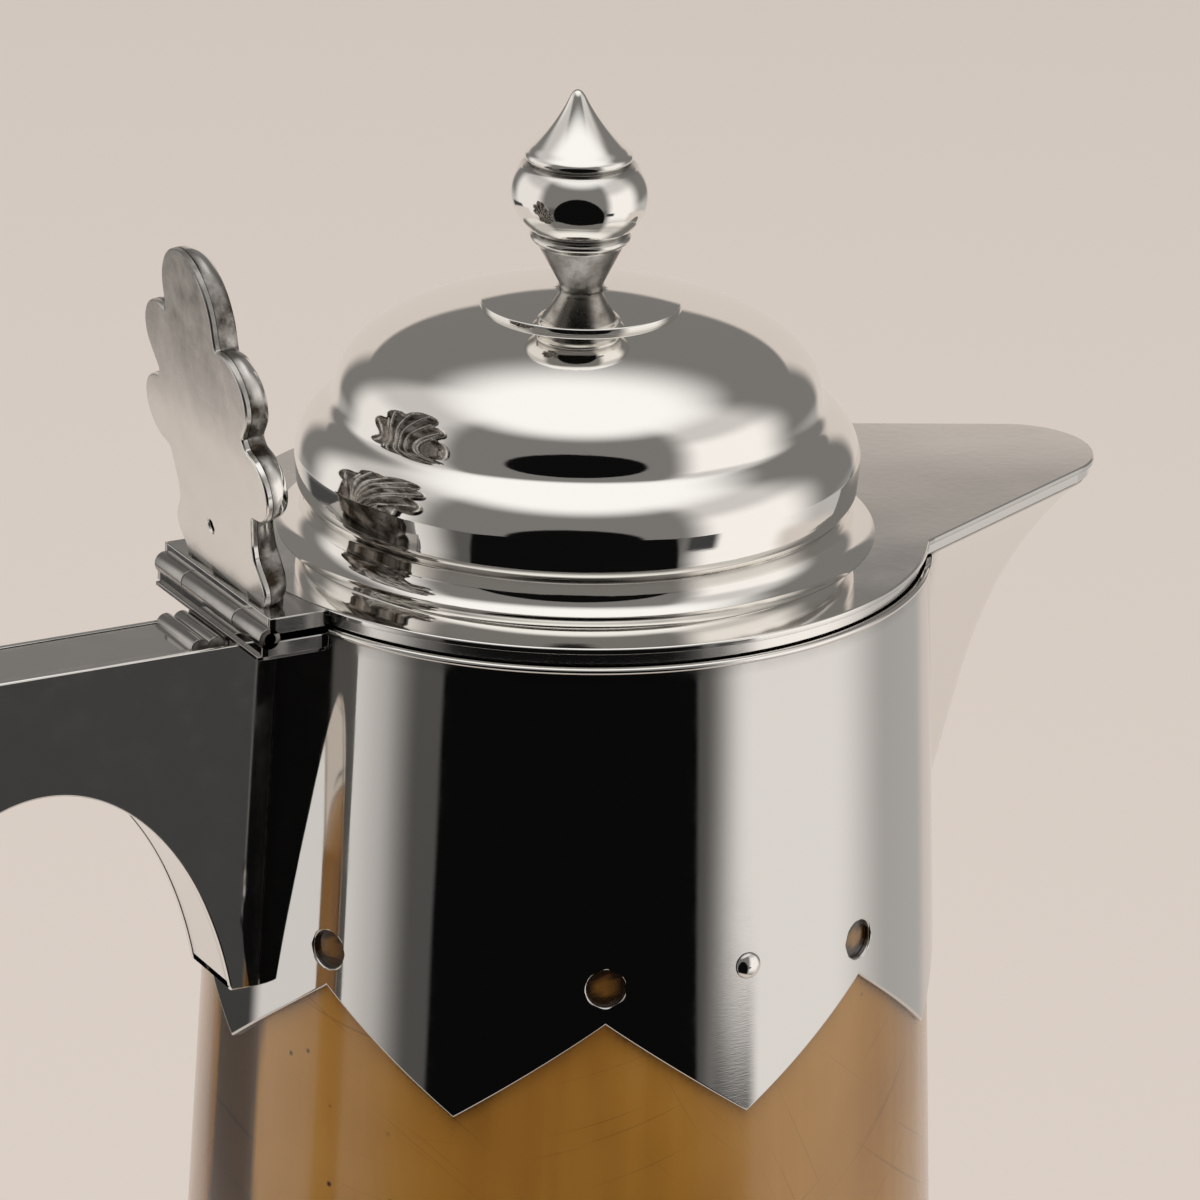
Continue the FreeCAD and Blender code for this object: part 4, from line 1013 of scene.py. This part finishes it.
DARK_CARD, HORN_CARD = (0.05, 0.05, 0.05, 1.0), (0.06, 0.06, 0.06, 1.0)
DARK_FLOOR, GAP = (0.12, 0.115, 0.11, 1.0), (0.004, 0.004, 0.004, 1.0)
TOP_LIGHT, TOP_TILT = (1.05, 1.04, 1.02, 1.0), math.radians(4)
table_top = hang(cloth_colour(0.5), sweep(turn_away, 62, 48), cloth_colour(0.1))
tent = hang(cloth_colour(0.2), sweep(tilt, -6, -18), table_top)
upper = sweep(tilt, 13, 31)
tent = hang(tent, span(bearing, -135, -115, -75, -55), hang(cloth_colour(0.85), upper, cloth_colour(0.6)))
tent = hang(tent, span(bearing, 42, 60, 90, 120), hang(cloth_colour(1.0), upper, cloth_colour(0.65)))
tent = hang(tent, both(sweep(turn_away, 143, 154), sweep(tilt, 20.7, 18.2)), BACKDROP)
tent = hang(tent, both(sweep(turn_away, 88, 100), sweep(tilt, -22, -25)), BACKDROP)
tent = hang(tent, both(span(bearing, -146, -138, -114, -106), span(tilt, -25, -23, -20.5, -18.5)), HORN_CARD)
tent = hang(tent, both(sweep(turn_away, 100, 88), sweep(tilt, -27, -60)), DARK_FLOOR)
across = maths(sky, "ADD", square(bearing, 0, 46.5), square(tilt, -50, 68))
tent = hang(tent, ease(across, 1.04, 0.97), GAP)
tent = hang(tent, sweep(tilt, -50, -58), BACKDROP)
lit_from = (math.sin(TOP_TILT), 0.0, math.cos(TOP_TILT))
overhead = add_node(sky, "ShaderNodeVectorMath", {0: turned, 1: lit_from}, operation="DOT_PRODUCT")
lit = ease(overhead.outputs["Value"], math.sin(math.radians(42)), math.sin(math.radians(68)))
tent = hang(tent, lit, TOP_LIGHT)
tent = hang(tent, both(span(bearing, 44, 49, 58, 63), span(tilt, -27, -25.5, -20.4, -18.6)), DARK_CARD)
seen = add_node(sky, "ShaderNodeLightPath").outputs["Is Camera Ray"]
glow = add_node(sky, "ShaderNodeBackground", {"Color": hang(tent, seen, BACKDROP), "Strength": 1.0})
add_node(sky, "ShaderNodeOutputWorld", {"Surface": glow.outputs[0]})

LAMP_POWER, LAMP_SIZE, LAMP_PLACE = 44.0, 1.4, (-0.25, -0.45, 3.0)
lamp = bpy.data.lights.new("tent_lamp", "AREA")
lamp.energy = LAMP_POWER
lamp.size = LAMP_SIZE
lamp_place = bpy.data.objects.new("tent_lamp", lamp)
lamp_place.location = LAMP_PLACE
lamp_place.visible_glossy = False
scene.collection.objects.link(lamp_place)

# Camera: long lens from the front left, looking down on the lid, with the slight roll of the photograph.
# Its place was fitted to points of the photograph with the distance held, so the lens follows from that.
AZIMUTH, ELEVATION, ROLL = math.radians(-29.075), math.radians(20.67), math.radians(1.5)
DISTANCE, LENS, SENSOR = 0.776, 203.6, 36.0
TARGET = np.array([0.001479, -0.003588, 0.183592])
back = np.array([math.sin(AZIMUTH) * math.cos(ELEVATION), -math.cos(AZIMUTH) * math.cos(ELEVATION),
                 math.sin(ELEVATION)])
level = np.array([math.cos(AZIMUTH), math.sin(AZIMUTH), 0.0])
above = np.cross(back, level)
right = math.cos(ROLL) * level + math.sin(ROLL) * above
top = math.cos(ROLL) * above - math.sin(ROLL) * level
eye = TARGET + DISTANCE * back
camera_data = bpy.data.cameras.new("camera")
camera_data.lens = LENS
camera_data.sensor_width = SENSOR
camera = bpy.data.objects.new("camera", camera_data)
rows = [(*axis, place) for axis, place in zip(zip(right, top, back), eye)]
camera.matrix_world = Matrix(rows + [(0, 0, 0, 1)])
scene.collection.objects.link(camera)
scene.camera = camera
scene.view_settings.view_transform = "Standard"

low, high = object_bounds()
